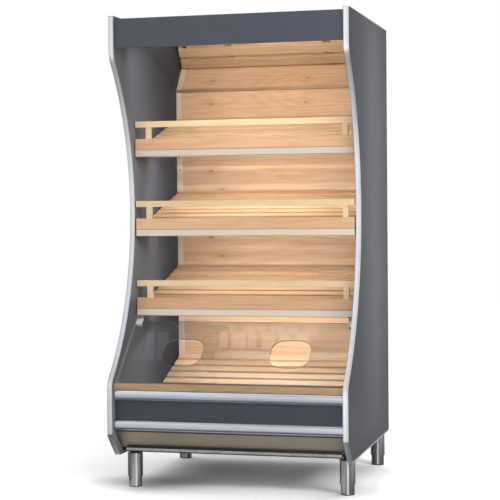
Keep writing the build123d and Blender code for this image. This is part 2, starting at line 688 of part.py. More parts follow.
def front_pane():
    """Clear front pane with two hand holes, the clips on its top edge and their hinges."""
    lean = radians(PANE_ANGLE)
    hang = Plane(origin=(0, Y_HINGE, Z_HINGE), x_dir=(1, 0, 0), z_dir=(0, -cos(lean), sin(lean)))
    corner_drop = PANE_T / 2 * sin(lean)
    length = (Z_HINGE - Z_LIP_TOP - PANE_REST_GAP - corner_drop) / cos(lean)
    half = X_INNER - PANE_END_GAP
    middle = (PANE_START + length) / 2
    sheet = Pos(0, -middle) * RectangleRounded(2 * half, length - PANE_START, PANE_CORNER)
    for x in (-HAND_HOLE_X, HAND_HOLE_X):
        sheet -= Pos(x, -HAND_HOLE_DOWN) * RectangleRounded(HAND_HOLE_W, HAND_HOLE_H, HAND_HOLE_ROUND)
    nodes["pane"] = [hang * Pos(0, 0, -PANE_T / 2) * extrude(sheet, amount=PANE_T)]

    x_ear = X_INNER - HINGE_EAR_T
    x_clip = x_ear - CLIP_SIDE_GAP - CLIP_W
    clip = rod(x_clip, x_clip + CLIP_W, 0, 0, CLIP_HEAD_R)
    clip += box(x_clip, x_clip + CLIP_W, -CLIP_L, 0, -CLIP_T / 2, CLIP_T / 2)
    clip -= box(x_clip, x_clip + CLIP_W, -CLIP_L, -PANE_START, -PANE_T / 2, PANE_T / 2)
    clip -= rod(x_clip, x_clip + CLIP_W, 0, 0, HINGE_PIN_R + HINGE_PIN_CLEAR)
    nodes["pane_clips"] = both_sides(hang * clip)

    y, z = Y_HINGE, Z_HINGE
    z_plate = z + HINGE_PLATE_RISE
    ear_half = HINGE_EAR_W / 2
    plate_half = HINGE_PLATE_D / 2
    hinge = box(x_clip, X_INNER, y - plate_half, y + plate_half, z_plate, z_plate + HINGE_PLATE_T)
    hinge += box(x_ear, X_INNER, y - ear_half, y + ear_half, z - HINGE_EAR_DROP, z_plate)
    hinge += rod(x_clip + CLIP_SIDE_GAP, x_ear, y, z, HINGE_PIN_R)
    nodes["pane_hinges"] = both_sides(hinge)


def power_inlet():
    """Recessed inlet on the rear panel: a plate with a square collar."""
    x = X_INNER - INLET_INSET
    z = Z_FLOOR_TOP + INLET_RISE
    y0 = Y_REAR_FACE + INLET_PLATE_T
    y1 = y0 + INLET_COLLAR_T
    w, h = INLET_PLATE_W / 2, INLET_PLATE_H / 2
    inlet = box(x - w, x + w, Y_REAR_FACE, y0, z - h, z + h)
    w, h = INLET_COLLAR_W / 2, INLET_COLLAR_H / 2
    inlet += box(x - w, x + w, y0, y1, z - h, z + h)
    w, h = w - INLET_WALL, h - INLET_WALL
    inlet -= box(x - w, x + w, y0, y1, z - h, z + h)
    nodes["power_inlet"] = [inlet]


def write_nodes():
    """Write each node's solids to one file."""
    os.makedirs("parts", exist_ok=True)
    for name, pieces in nodes.items():
        solids = [solid for piece in pieces for solid in piece.solids()]
        shape = solids[0] if len(solids) == 1 else Compound(children=solids)
        export_step(shape, f"parts/{name}.step")


side_panels()
canopy()
mirror_pieces()
rear_wall()
for shelf_index in range(SHELF_COUNT):
    shelf(shelf_index)
bread_bin()
lower_front()
base_frame()
legs()
front_pane()
power_inlet()
write_nodes()
print(len(nodes), "nodes")
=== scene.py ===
"""Bakery shelving rack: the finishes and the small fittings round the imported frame, with the studio that it stands in.

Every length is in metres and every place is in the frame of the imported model: X across the rack, Y from its front to
its back, Z up from the floor.
"""

import logging
import math
from dataclasses import dataclass
from enum import Enum
from typing import Any, Iterable, Sequence

import bmesh
import bpy
from mathutils import Matrix, Vector

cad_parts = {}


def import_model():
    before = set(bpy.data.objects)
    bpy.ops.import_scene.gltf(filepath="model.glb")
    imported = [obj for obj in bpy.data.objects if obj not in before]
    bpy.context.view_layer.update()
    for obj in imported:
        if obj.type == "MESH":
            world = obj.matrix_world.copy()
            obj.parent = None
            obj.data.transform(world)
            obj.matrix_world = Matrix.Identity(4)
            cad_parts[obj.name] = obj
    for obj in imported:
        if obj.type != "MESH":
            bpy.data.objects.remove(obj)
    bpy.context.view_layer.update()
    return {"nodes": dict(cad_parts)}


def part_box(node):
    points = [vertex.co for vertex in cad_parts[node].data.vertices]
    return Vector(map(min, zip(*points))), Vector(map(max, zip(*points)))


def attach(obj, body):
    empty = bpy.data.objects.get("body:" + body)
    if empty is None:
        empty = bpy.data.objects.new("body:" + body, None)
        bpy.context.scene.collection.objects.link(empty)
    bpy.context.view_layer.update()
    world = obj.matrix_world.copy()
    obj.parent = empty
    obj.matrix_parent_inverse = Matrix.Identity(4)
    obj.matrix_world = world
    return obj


Point = tuple[float, float, float]
Flat = tuple[float, float]
Colour = tuple[float, float, float, float]
Socket = bpy.types.NodeSocket
Sockets = dict[str, Socket]

LOG = logging.getLogger("rack")
SHELVES = (1, 2, 3)
ORIGIN: Point = (0.0, 0.0, 0.0)
TO_FRONT: Point = (0.0, -1.0, 0.0)
TO_REAR: Point = (0.0, 1.0, 0.0)
UP: Point = (0.0, 0.0, 1.0)
DOWN: Point = (0.0, 0.0, -1.0)
BLACK: Colour = (0.0, 0.0, 0.0, 1.0)
SOCKET_KINDS = {1: "NodeSocketFloat", 3: "NodeSocketVector", 4: "NodeSocketColor"}
SMOOTH_UP_TO = math.radians(35.0)
# The radius and the height of a small screw's head.
SMALL_SCREW: Flat = (0.0026, 0.0012)


class Body(str, Enum):
    """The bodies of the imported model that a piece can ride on."""

    CABINET = "cabinet"
    PANE = "pane"
    SHELF_1 = "shelf_1"
    SHELF_2 = "shelf_2"
    SHELF_3 = "shelf_3"
    FOOT_FRONT_LEFT = "foot_front_left"
    FOOT_FRONT_RIGHT = "foot_front_right"
    FOOT_REAR_LEFT = "foot_rear_left"
    FOOT_REAR_RIGHT = "foot_rear_right"


FEET = (Body.FOOT_FRONT_LEFT, Body.FOOT_FRONT_RIGHT, Body.FOOT_REAR_LEFT, Body.FOOT_REAR_RIGHT)


class Slot(str, Enum):
    """The material slots of the record."""

    LAMINATE_GREY = "laminate_grey"
    LAMINATE_DARK = "laminate_dark"
    BEECH = "beech"
    BEECH_LIGHT = "beech_light"
    ALUMINIUM = "aluminium_trim"
    BUMPER = "bumper_aluminium"
    STEEL = "steel_brushed"
    BEIGE_PAINT = "beige_paint"
    GREY_PAINT = "grey_paint"
    STRIP = "strip_plastic"
    BLACK_PLASTIC = "black_plastic"
    WHITE_PLASTIC = "white_plastic"
    DIFFUSER = "diffuser"
    MIRROR = "mirror"
    PANE = "clear_pane"


class Run(Enum):
    """The direction in which a grain or a brushing runs, as the order of the axes along, across and through."""

    ALONG_X = "XYZ"
    ALONG_Y = "YXZ"
    ALONG_Z = "ZXY"


def tint(code: str) -> Colour:
    """Turns a written colour into the linear values that shaders take.

    Args:
        code: Six hexadecimal digits of a display colour.

    Returns:
        Red, green, blue and full opacity, linear.
    """
    parts = [int(code[i:i + 2], 16) / 255 for i in (0, 2, 4)]
    linear = [c / 12.92 if c <= 0.04045 else ((c + 0.055) / 1.055) ** 2.4 for c in parts]
    return (linear[0], linear[1], linear[2], 1.0)


class Graph:
    """A hand on one node tree, which adds nodes, sets their sockets and links them."""

    def __init__(self, tree: bpy.types.NodeTree) -> None:
        """Keeps the tree that the nodes go into."""
        self.tree = tree

    def add(self, kind: str, inputs: dict[Any, Any] | None = None, **settings: Any) -> bpy.types.Node:
        """Adds a node.

        Args:
            kind: The node's type name.
            inputs: For each socket, by name or place, a value or the socket that it is linked to.
            settings: The node's own properties.

        Returns:
            The new node.
        """
        node = self.tree.nodes.new(kind)
        for name, value in settings.items():
            setattr(node, name, value)
        for key, value in (inputs or {}).items():
            self.feed(node.inputs[key], value)
        return node

    def feed(self, socket: Socket, value: Any) -> None:
        """Links a socket to another one, or sets its plain value."""
        if isinstance(value, bpy.types.NodeSocket):
            self.tree.links.new(value, socket)
        else:
            socket.default_value = value

    def math(self, operation: str, first: Any, second: Any = 0.0, clamp: bool = False) -> Socket:
        """Adds a Math node and returns its result."""
        return self.add("ShaderNodeMath", {0: first, 1: second}, operation=operation, use_clamp=clamp).outputs[0]

    def times(self, first: Any, second: Any, clamp: bool = False) -> Socket:
        """Multiplies two values."""
        return self.math("MULTIPLY", first, second, clamp)

    def plus(self, first: Any, second: Any, clamp: bool = False) -> Socket:
        """Adds two values."""
        return self.math("ADD", first, second, clamp)

    def around(self, value: Any, middle: float, gain: Any) -> Socket:
        """Returns how far a value lies from a middle, times a gain."""
        return self.times(self.math("SUBTRACT", value, middle), gain)

    def vector(self, operation: str, first: Any, second: Any = ORIGIN) -> Socket:
        """Adds a Vector Math node and returns its vector."""
        return self.add("ShaderNodeVectorMath", {0: first, 1: second}, operation=operation).outputs[0]

    def measure(self, operation: str, first: Any, second: Any = ORIGIN) -> Socket:
        """Adds a Vector Math node and returns its single value."""
        return self.add("ShaderNodeVectorMath", {0: first, 1: second}, operation=operation).outputs["Value"]

    def split(self, vector: Any) -> Sequence[Socket]:
        """Returns the three values of a vector."""
        return self.add("ShaderNodeSeparateXYZ", {0: vector}).outputs

    def join(self, values: Iterable[Any]) -> Socket:
        """Returns the vector of three values."""
        return self.add("ShaderNodeCombineXYZ", dict(enumerate(values))).outputs[0]

    def darken(self, colour: Any, value: Any) -> Socket:
        """Multiplies a colour by one value."""
        return self.vector("MULTIPLY", colour, self.join((value, value, value)))

    def span(self, value: Any, low: float, high: float, to_low: float = 0.0, to_high: float = 1.0) -> Socket:
        """Maps a value smoothly from one range to another.

        Args:
            value: What is mapped.
            low: The value that gives to_low.
            high: The value that gives to_high.
            to_low: The result at and below low.
            to_high: The result at and above high.

        Returns:
            The mapped value.
        """
        inputs = {0: value, 1: low, 2: high, 3: to_low, 4: to_high}
        return self.add("ShaderNodeMapRange", inputs, interpolation_type="SMOOTHSTEP", clamp=True).outputs[0]

    def mix(self, factor: Any, first: Any, second: Any, blend: str = "MIX") -> Socket:
        """Mixes two colours.

        Args:
            factor: How much of the second one shows, from 0 to 1.
            first: The first colour.
            second: The second colour.
            blend: The way of mixing.

        Returns:
            The mixed colour.
        """
        inputs = {0: factor, 6: first, 7: second}
        return self.add("ShaderNodeMix", inputs, data_type="RGBA", blend_type=blend, clamp_factor=True).outputs[2]

    def noise(self, vector: Any, scale: float = 1.0, detail: float = 2.0, rough: float = 0.5) -> Socket:
        """Adds a noise and returns its value, from about 0.25 to 0.75."""
        inputs = {"Vector": vector, "Scale": scale, "Detail": detail, "Roughness": rough}
        return self.add("ShaderNodeTexNoise", inputs).outputs[0]

    def fibres(self, place: Any, stretch: Point, detail: float, rough: float = 0.5) -> Socket:
        """Adds a noise that is finer along some axes than along others."""
        return self.noise(self.vector("MULTIPLY", place, stretch), 1.0, detail, rough)

    def toned(self, colour: Any, tone: Any) -> Socket:
        """Makes a colour lighter or darker by a share of its value."""
        return self.add("ShaderNodeHueSaturation", {"Value": self.plus(1.0, tone), "Color": colour}).outputs[0]

    def relief(self, height: Any, strength: float, distance: float) -> Socket:
        """Returns the normal of a fine relief."""
        inputs = {"Strength": strength, "Distance": distance, "Height": height}
        return self.add("ShaderNodeBump", inputs).outputs[0]

    def looked_at(self) -> Socket:
        """Returns 1 for the rays of the camera, of gloss and of glass, and 0 for the others."""
        path = self.add("ShaderNodeLightPath")
        seen = self.math("MAXIMUM", path.outputs["Is Camera Ray"], path.outputs["Is Glossy Ray"])
        return self.math("MAXIMUM", seen, path.outputs["Is Transmission Ray"], clamp=True)

    def place(self, run: Run = Run.ALONG_X) -> Socket:
        """Reads the point's place on its piece, in metres, with its first value along the grain.

        Args:
            run: The direction of the grain.

        Returns:
            The place, as a vector.
        """
        coordinates = self.add("ShaderNodeTexCoord").outputs["Object"]
        if run is Run.ALONG_X:
            return coordinates
        order = dict(zip("XYZ", self.split(coordinates)))
        return self.join(order[axis] for axis in run.value)


class Effect:
    """A shader node group that several finishes share. It is built on its first use and placed with its own values.

    The defaults of its sockets also give their kinds: a number, a vector of three or a colour of four values.
    """

    name: str
    inputs: dict[str, Any]
    outputs: dict[str, Any] = {"Color": BLACK, "Roughness": 0.0, "Height": 0.0}

    @classmethod
    def wire(cls, g: Graph, i: Sockets) -> Sockets:
        """Adds the nodes between the group's inputs and its outputs.

        Args:
            g: The group's graph.
            i: The socket behind each input.

        Returns:
            The socket behind each output.
        """
        raise NotImplementedError

    @classmethod
    def tree(cls) -> bpy.types.NodeTree:
        """Builds the group on the first call, and returns it."""
        known = bpy.data.node_groups.get(cls.name)
        if known:
            return known
        tree = bpy.data.node_groups.new(cls.name, "ShaderNodeTree")
        for direction, sockets in (("INPUT", cls.inputs), ("OUTPUT", cls.outputs)):
            for name, value in sockets.items():
                kind = SOCKET_KINDS[len(value) if isinstance(value, tuple) else 1]
                tree.interface.new_socket(name=name, in_out=direction, socket_type=kind).default_value = value
        graph = Graph(tree)
        start, end = graph.add("NodeGroupInput"), graph.add("NodeGroupOutput")
        results = cls.wire(graph, {name: start.outputs[name] for name in cls.inputs})
        for name, socket in results.items():
            graph.feed(end.inputs[name], socket)
        return tree

    @classmethod
    def put(cls, graph: Graph, **inputs: Any) -> Sockets:
        """Places the group in a material.

        Args:
            graph: The material's graph.
            inputs: The value or the socket for each of its inputs.

        Returns:
            Its outputs by name.
        """
        node = graph.add("ShaderNodeGroup", inputs, node_tree=cls.tree())
        return {socket.name: socket for socket in node.outputs}


class Grain(Effect):
    """The beech grain: growth lines, streaks and short dark flecks along the first axis."""

    name = "beech_grain"
    inputs = {
        "Place": ORIGIN, "Pale": (0.8, 0.6, 0.4, 1.0), "Dark": (0.6, 0.4, 0.25, 1.0), "Piece": 0.0, "Figure": 1.0,
        "Spread": 0.1,
    }

    @classmethod
    def wire(cls, g: Graph, i: Sockets) -> Sockets:
        """Adds the lines, streaks, clouds and flecks, and gives each piece of wood its own tone."""
        shift = g.join([g.times(i["Piece"], step) for step in (7.13, 3.77, 5.31)])
        place = g.vector("ADD", i["Place"], shift)
        line = g.math("SINE", g.times(g.fibres(place, (0.8, 6.0, 6.0), 2.0), 95.0))
        line = g.math("POWER", g.span(line, -1.0, 1.0), 2.2)
        streak = g.span(g.fibres(place, (2.2, 95.0, 95.0), 4.0, 0.6), 0.34, 0.68)
        cloud = g.span(g.fibres(place, (2.6, 9.0, 9.0), 3.0, 0.55), 0.32, 0.7)
        fleck = g.span(g.fibres(place, (75.0, 900.0, 900.0), 1.0), 0.6, 0.72)
        figure = g.plus(g.plus(g.times(line, 0.24), g.times(streak, 0.46)), g.times(cloud, 0.28))
        wood = g.mix(g.times(figure, i["Figure"], clamp=True), i["Pale"], i["Dark"])
        wood = g.mix(g.times(fleck, 0.22), wood, g.mix(1.0, wood, (0.62, 0.47, 0.36, 1.0), "MULTIPLY"))
        chance = g.add("ShaderNodeTexWhiteNoise", {"W": g.plus(i["Piece"], 0.37)}, noise_dimensions="1D")
        tone = g.around(chance.outputs[0], 0.5, i["Spread"])
        wood = g.add("ShaderNodeHueSaturation", {
            "Hue": g.plus(0.5, g.times(tone, 0.06)),
            "Saturation": g.plus(1.0, g.times(tone, -0.5)),
            "Value": g.plus(1.0, tone),
            "Color": wood,
        }).outputs[0]
        height = g.math("SUBTRACT", g.times(streak, 0.6), g.times(fleck, 0.5))
        return {"Color": wood, "Roughness": g.plus(0.4, g.times(streak, 0.12)), "Height": height}


class KnotMark(Effect):
    """One knot: a small dark core, and the bend that the grain takes round it."""

    name = "knot"
    inputs = {"Place": ORIGIN, "Core": 0.0, "Centre": ORIGIN, "Radius": 0.01}
    outputs = {"Place": ORIGIN, "Core": 0.0}

    @classmethod
    def wire(cls, g: Graph, i: Sockets) -> Sockets:
        """Adds the core with its halo, and pulls the grain's place towards the centre."""
        away = g.vector("SUBTRACT", i["Place"], i["Centre"])
        length = g.measure("LENGTH", g.vector("MULTIPLY", away, (0.42, 0.0, 1.0)))
        reach = g.math("DIVIDE", length, i["Radius"])
        ragged = g.plus(reach, g.times(g.noise(i["Place"], 260.0, 2.0), 0.7))
        core = g.plus(g.span(ragged, 1.5, 0.4), g.times(g.span(reach, 4.4, 0.6), 0.22))
        fall = g.math("POWER", 2.718, g.times(g.times(reach, reach), -0.09))
        pull = g.vector("MULTIPLY", away, (0.0, 0.0, -0.75))
        scaled = g.add("ShaderNodeVectorMath", {0: pull, "Scale": fall}, operation="SCALE").outputs[0]
        return {"Place": g.vector("ADD", i["Place"], scaled), "Core": g.plus(i["Core"], core, clamp=True)}


class Brushing(Effect):
    """The brushed face of a metal: fine lines along the first axis, and slow stains of handling."""

    name = "metal_brushing"
    inputs = {
        "Place": ORIGIN, "Metal": (0.6, 0.6, 0.6, 1.0), "Gloss": 0.3, "Depth": 0.5, "Stain": 0.1, "Uneven": 1.0,
    }

    @classmethod
    def wire(cls, g: Graph, i: Sockets) -> Sockets:
        """Adds the lines and the stains, which change both the tone and the gloss."""
        fine = g.fibres(i["Place"], (6.0, 1500.0, 1500.0), 3.0, 0.7)
        wide = g.fibres(i["Place"], (2.0, 160.0, 160.0), 2.0)
        stain = g.noise(i["Place"], 9.0, 3.0)
        lines = g.plus(g.times(fine, 0.6), g.times(wide, 0.4))
        tone = g.plus(g.around(lines, 0.5, i["Depth"]), g.around(stain, 0.5, i["Stain"]))
        uneven = g.plus(g.around(lines, 0.5, 0.25), g.around(stain, 0.45, 0.16))
        rough = g.plus(i["Gloss"], g.times(uneven, i["Uneven"]), clamp=True)
        return {"Color": g.toned(i["Metal"], tone), "Roughness": rough, "Height": lines}


class Pebble(Effect):
    """The skin of a laminate, a paint or a moulding: a fine pebble with slow changes of tone."""

    name = "skin"
    inputs = {
        "Place": ORIGIN, "Base": (0.5, 0.5, 0.5, 1.0), "Grit": 900.0, "Speckle": 0.2, "Cloud": 0.08, "Gloss": 0.45,
    }

    @classmethod
    def wire(cls, g: Graph, i: Sockets) -> Sockets:
        """Adds the pebble and the slow changes."""
        pebble = g.noise(i["Place"], i["Grit"], 2.0, 0.6)
        slow = g.noise(i["Place"], 3.2, 3.0, 0.55)
        tone = g.plus(g.around(pebble, 0.5, i["Speckle"]), g.around(slow, 0.5, i["Cloud"]))
        rough = g.plus(i["Gloss"], g.around(slow, 0.5, 0.18), clamp=True)
        return {"Color": g.toned(i["Base"], tone), "Roughness": rough, "Height": pebble}


class EdgeWear(Effect):
    """The mask of worn edges: where the rounded normal leaves the face's own, broken up by a noise."""

    name = "edge_wear"
    inputs = {"Place": ORIGIN, "Radius": 0.0015, "Amount": 0.5}
    outputs = {"Mask": 0.0}

    @classmethod
    def wire(cls, g: Graph, i: Sockets) -> Sockets:
        """Adds the two normals and the noise."""
        round_normal = g.add("ShaderNodeBevel", {"Radius": i["Radius"]}, samples=4).outputs[0]
        flat_normal = g.add("ShaderNodeNewGeometry").outputs["Normal"]
        edge = g.span(g.measure("DOT_PRODUCT", round_normal, flat_normal), 0.995, 0.86)
        patch = g.span(g.noise(i["Place"], 45.0, 3.0, 0.6), 0.36, 0.62)
        return {"Mask": g.times(g.times(edge, patch), i["Amount"], clamp=True)}


class PaintedLightPool(Effect):
    """One soft pool of painted light on the floor, or of painted shadow where its gain is below 1."""

    name = "painted_light_pool"
    inputs = {"Place": ORIGIN, "Value": 1.0, "Centre": ORIGIN, "Reach": ORIGIN, "Gain": 1.0}
    outputs = {"Value": 0.0}

    @classmethod
    def wire(cls, g: Graph, i: Sockets) -> Sockets:
        """Adds the distance from the centre, and the gain that fades with it."""
        away = g.vector("DIVIDE", g.vector("SUBTRACT", i["Place"], i["Centre"]), i["Reach"])
        there = g.span(g.measure("LENGTH", g.vector("MULTIPLY", away, (1.0, 1.0, 0.0))), 1.0, 0.15)
        gain = g.plus(1.0, g.times(there, g.math("SUBTRACT", i["Gain"], 1.0)))
        return {"Value": g.times(i["Value"], gain)}


class Wiping(Effect):
    """The faint arcs that a cleaning cloth leaves on a mirror or a pane."""

    name = "wiping_marks"
    inputs = {"Place": ORIGIN, "Amount": 0.05}
    outputs = {"Value": 0.0}

    @classmethod
    def wire(cls, g: Graph, i: Sockets) -> Sockets:
        """Adds the bent smears and the small dots."""
        bend = g.add("ShaderNodeTexNoise", {"Vector": i["Place"], "Scale": 2.4, "Detail": 1.0}).outputs[1]
        bent = g.vector("ADD", i["Place"], g.vector("MULTIPLY", bend, (0.35, 0.35, 0.35)))
        smear = g.span(g.fibres(bent, (5.0, 42.0, 42.0), 3.0, 0.6), 0.46, 0.74)
        dots = g.span(g.noise(i["Place"], 380.0, 0.0), 0.7, 0.8)
        return {"Value": g.times(g.plus(smear, g.times(dots, 0.4)), i["Amount"], clamp=True)}


@dataclass(frozen=True)
class Finish:
    """A finish that pieces and nodes take. Each kind of finish wires its own material."""

    name: str
    slot: Slot

    def wire(self, graph: Graph) -> bpy.types.Node:
        """Adds the finish's nodes.

        Args:
            graph: The material's graph.

        Returns:
            The shader node that the material shows.
        """
        raise NotImplementedError

    def material(self) -> bpy.types.Material:
        """Makes the material, or returns it where it exists."""
        known = bpy.data.materials.get(self.name)
        if known:
            return known
        made = bpy.data.materials.new(self.name)
        made.use_nodes = True
        made.node_tree.nodes.clear()
        graph = Graph(made.node_tree)
        shader = self.wire(graph)
        graph.add("ShaderNodeOutputMaterial", {"Surface": shader.outputs[0]})
        return made


@dataclass(frozen=True)
class SlatOrder:
    """Where the slats of a slope begin, which tells the slats of one node apart."""

    start: float
    slope: float
    pitch: float = 0.063
    gap: float = 0.018

    def index(self, graph: Graph) -> Socket:
        """Adds the nodes that count the slats.

        Args:
            graph: The material's graph.

        Returns:
            A whole number for each slat.
        """
        parts = graph.split(graph.place())
        angle = math.radians(self.slope)
        up_slope = graph.plus(graph.times(parts[1], math.cos(angle)), graph.times(parts[2], math.sin(angle)))
        counted = graph.math("DIVIDE", graph.math("SUBTRACT", up_slope, self.start - self.gap / 2), self.pitch)
        return graph.math("FLOOR", counted)


@dataclass(frozen=True)
class Knot:
    """One knot of a board: its centre and the radius of its core."""

    centre: Point
    radius: float


@dataclass(frozen=True)
class Beech(Finish):
    """Clear-lacquered beech, of one board or of a row of slats."""

    pale: str = "e9c79f"
    dark: str = "cf9f72"
    figure: float = 1.0
    spread: float = 0.08
    piece: float = 0.0
    slats: SlatOrder | None = None
    knots: tuple[Knot, ...] = ()
    knot_base: str = "96653c"
    knot_strength: float = 0.62
    worn: str = "b98a5e"
    wear: float = 0.3
    edge: float = 0.0016
    bounced: str = "bcb6ae"
    calm: float = 0.85

    def wire(self, graph: Graph) -> bpy.types.Node:
        """Adds the grain, its knots, the worn edges and the lacquer, and calms the warm light that the wood throws."""
        place = graph.place()
        core: Any = 0.0
        for knot in self.knots:
            out = KnotMark.put(graph, Place=place, Core=core, Centre=knot.centre, Radius=knot.radius)
            place, core = out["Place"], out["Core"]
        piece: Any = graph.plus(self.slats.index(graph), self.piece) if self.slats else self.piece
        grain = Grain.put(graph, Place=place, Pale=tint(self.pale), Dark=tint(self.dark), Piece=piece,
            Figure=self.figure, Spread=self.spread)
        colour = grain["Color"]
        if self.knots:
            colour = graph.mix(graph.times(core, self.knot_strength), colour, tint(self.knot_base))
        mask = EdgeWear.put(graph, Place=graph.place(), Radius=self.edge, Amount=self.wear)["Mask"]
        colour = graph.mix(mask, colour, tint(self.worn))
        diffuse = graph.add("ShaderNodeLightPath").outputs["Is Diffuse Ray"]
        return graph.add("ShaderNodeBsdfPrincipled", {
            "Base Color": graph.mix(graph.times(diffuse, self.calm), colour, tint(self.bounced)),
            "Roughness": grain["Roughness"],
            "IOR": 1.5,
            "Normal": graph.relief(grain["Height"], 0.12, 0.0006),
        })


@dataclass(frozen=True)
class Skin(Finish):
    """Laminate, powder coat or moulded plastic: one hue with a fine pebble."""

    base: str = "6f7075"
    grit: float = 900.0
    speckle: float = 0.25
    cloud: float = 0.1
    gloss: float = 0.45
    bump: float = 0.1
    specular: float = 0.5
    worn: str = "9a9b9f"
    wear: float = 0.25
    edge: float = 0.0014

    def pebble(self, graph: Graph, base: Any, gloss: float) -> Sockets:
        """Places the pebble of this finish.

        Args:
            graph: The material's graph.
            base: Its colour, or the socket that gives it.
            gloss: Its roughness.

        Returns:
            The group's outputs by name.
        """
        return Pebble.put(graph, Place=graph.place(), Base=base, Grit=self.grit, Speckle=self.speckle,
            Cloud=self.cloud, Gloss=gloss)

    def wire(self, graph: Graph) -> bpy.types.Node:
        """Adds the skin and its worn edges."""
        skin = self.pebble(graph, tint(self.base), self.gloss)
        mask = EdgeWear.put(graph, Place=graph.place(), Radius=self.edge, Amount=self.wear)["Mask"]
        return graph.add("ShaderNodeBsdfPrincipled", {
            "Base Color": graph.mix(mask, skin["Color"], tint(self.worn)),
            "Roughness": skin["Roughness"],
            "Specular IOR Level": self.specular,
            "Normal": graph.relief(skin["Height"], self.bump, 0.0004),
        })


@dataclass(frozen=True)
class PanelSkin(Skin):
    """The laminate of the side panels, which is more matt on the faces that look at the shelves. Those inner faces
    carry painted light and shade: lighter towards the front, darker in the bin and ahead of the pane.
    """

    inner_face: float = 0.497
    inner_gloss: float = 0.85
    # Painted light on the inner faces: lighter towards the front and less so towards the top, over the panel's own
    # colour towards the rear.
    inner_base: str = "4d4f53"
    inner_front_painted_light: str = "888a90"
    inner_top_painted_light: str = "686b70"
    painted_light_depths: Flat = (-0.32, 0.3)
    painted_light_top_heights: Flat = (1.45, 1.75)
    # Painted shade low in the bin, and at the foot of the inner faces ahead of the pane.
    bin_painted_shade: str = "36383c"
    bin_shade_heights: Flat = (0.84, 0.74)
    bin_shade_depths: Flat = (-0.2, 0.2)
    pane_foot_painted_shade: str = "66686d"
    pane_foot_shade_heights: Flat = (0.84, 0.78)
    pane_start: float = 0.976
    pane_slope: float = 1.1106
    pane_foot_shade_fade: Flat = (0.0, -0.02)
    edging: float = 0.0035
    edging_base: str = "c9cbcf"

    def wire(self, graph: Graph) -> bpy.types.Node:
        """Adds the skin, turns it matt within the rack, paints light and shade on the inner faces and edges the outer
        faces along their foot.
        """
        shader = super().wire(graph)
        colour_in, rough_in = shader.inputs["Base Color"], shader.inputs["Roughness"]
        outer_colour, outer_gloss = colour_in.links[0].from_socket, rough_in.links[0].from_socket
        x, y, z = graph.split(graph.place())
        across = graph.math("ABSOLUTE", x)
        within = graph.span(across, self.inner_face + 0.0004, self.inner_face + 0.006, 1.0, 0.0)
        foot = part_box("side_panel_right")[0].z
        edging = graph.span(z, foot + self.edging, foot + self.edging + 0.0006, 1.0, 0.0)
        outer_colour = graph.mix(edging, outer_colour, tint(self.edging_base))
        # Painted light: the inner faces turn lighter towards the front, and less light towards the top.
        front = graph.mix(graph.span(z, *self.painted_light_top_heights), tint(self.inner_front_painted_light), tint(self.inner_top_painted_light))
        base = graph.mix(graph.span(y, *self.painted_light_depths), front, tint(self.inner_base))
        # Painted shade: darker low in the bin, and darker at the foot of the inner faces ahead of the pane line.
        bin_shade = graph.times(graph.span(z, *self.bin_shade_heights), graph.span(y, *self.bin_shade_depths))
        behind_pane = graph.math("SUBTRACT", graph.plus(y, self.pane_start), graph.times(z, self.pane_slope))
        ahead = graph.times(graph.span(z, *self.pane_foot_shade_heights), graph.span(behind_pane, *self.pane_foot_shade_fade))
        base = graph.mix(bin_shade, graph.mix(ahead, base, tint(self.pane_foot_painted_shade)), tint(self.bin_painted_shade))
        inner = self.pebble(graph, base, self.inner_gloss)
        graph.feed(colour_in, graph.mix(within, outer_colour, inner["Color"]))
        rough = graph.add("ShaderNodeMix", {0: within, 2: outer_gloss, 3: inner["Roughness"]}, data_type="FLOAT")
        graph.feed(rough_in, rough.outputs[0])
        return shader


@dataclass(frozen=True)
class Metal(Finish):
    """Brushed steel or satin anodised aluminium."""

    base: str = "b9b8b4"
    gloss: float = 0.3
    depth: float = 0.5
    stain: float = 0.12
    run: Run = Run.ALONG_X
    bump: float = 0.15
    worn: str = "e4e4e2"
    wear: float = 0.2
    edge: float = 0.001
    uneven: float = 1.0
    pull: float = 0.0

    def wire(self, graph: Graph) -> bpy.types.Node:
        """Adds the brushing and the brighter edges, and on upright tubes draws the gloss out along them."""
        brushed = Brushing.put(graph, Place=graph.place(self.run), Metal=tint(self.base), Gloss=self.gloss,
            Depth=self.depth, Stain=self.stain, Uneven=self.uneven)
        mask = EdgeWear.put(graph, Place=graph.place(), Radius=self.edge, Amount=self.wear)["Mask"]
        metal = graph.add("ShaderNodeBsdfPrincipled", {
            "Base Color": graph.mix(mask, brushed["Color"], tint(self.worn)),
            "Metallic": 1.0,
            "Roughness": brushed["Roughness"],
            "Normal": graph.relief(brushed["Height"], self.bump, 0.0003),
        })
        if self.pull:
            round_z = graph.add("ShaderNodeTangent", direction_type="RADIAL", axis="Z")
            graph.feed(metal.inputs["Tangent"], round_z.outputs[0])
            metal.inputs["Anisotropic"].default_value = self.pull
            metal.inputs["Anisotropic Rotation"].default_value = 0.25
        return metal


@dataclass(frozen=True)
class PaintedLightRamp:
    """A smooth change of tone between two parts of a width, where 0 and 1 are the two sides: painted light where the
    tone rises, painted shade where it falls.
    """

    start: float
    end: float
    tone_before: float
    tone_after: float


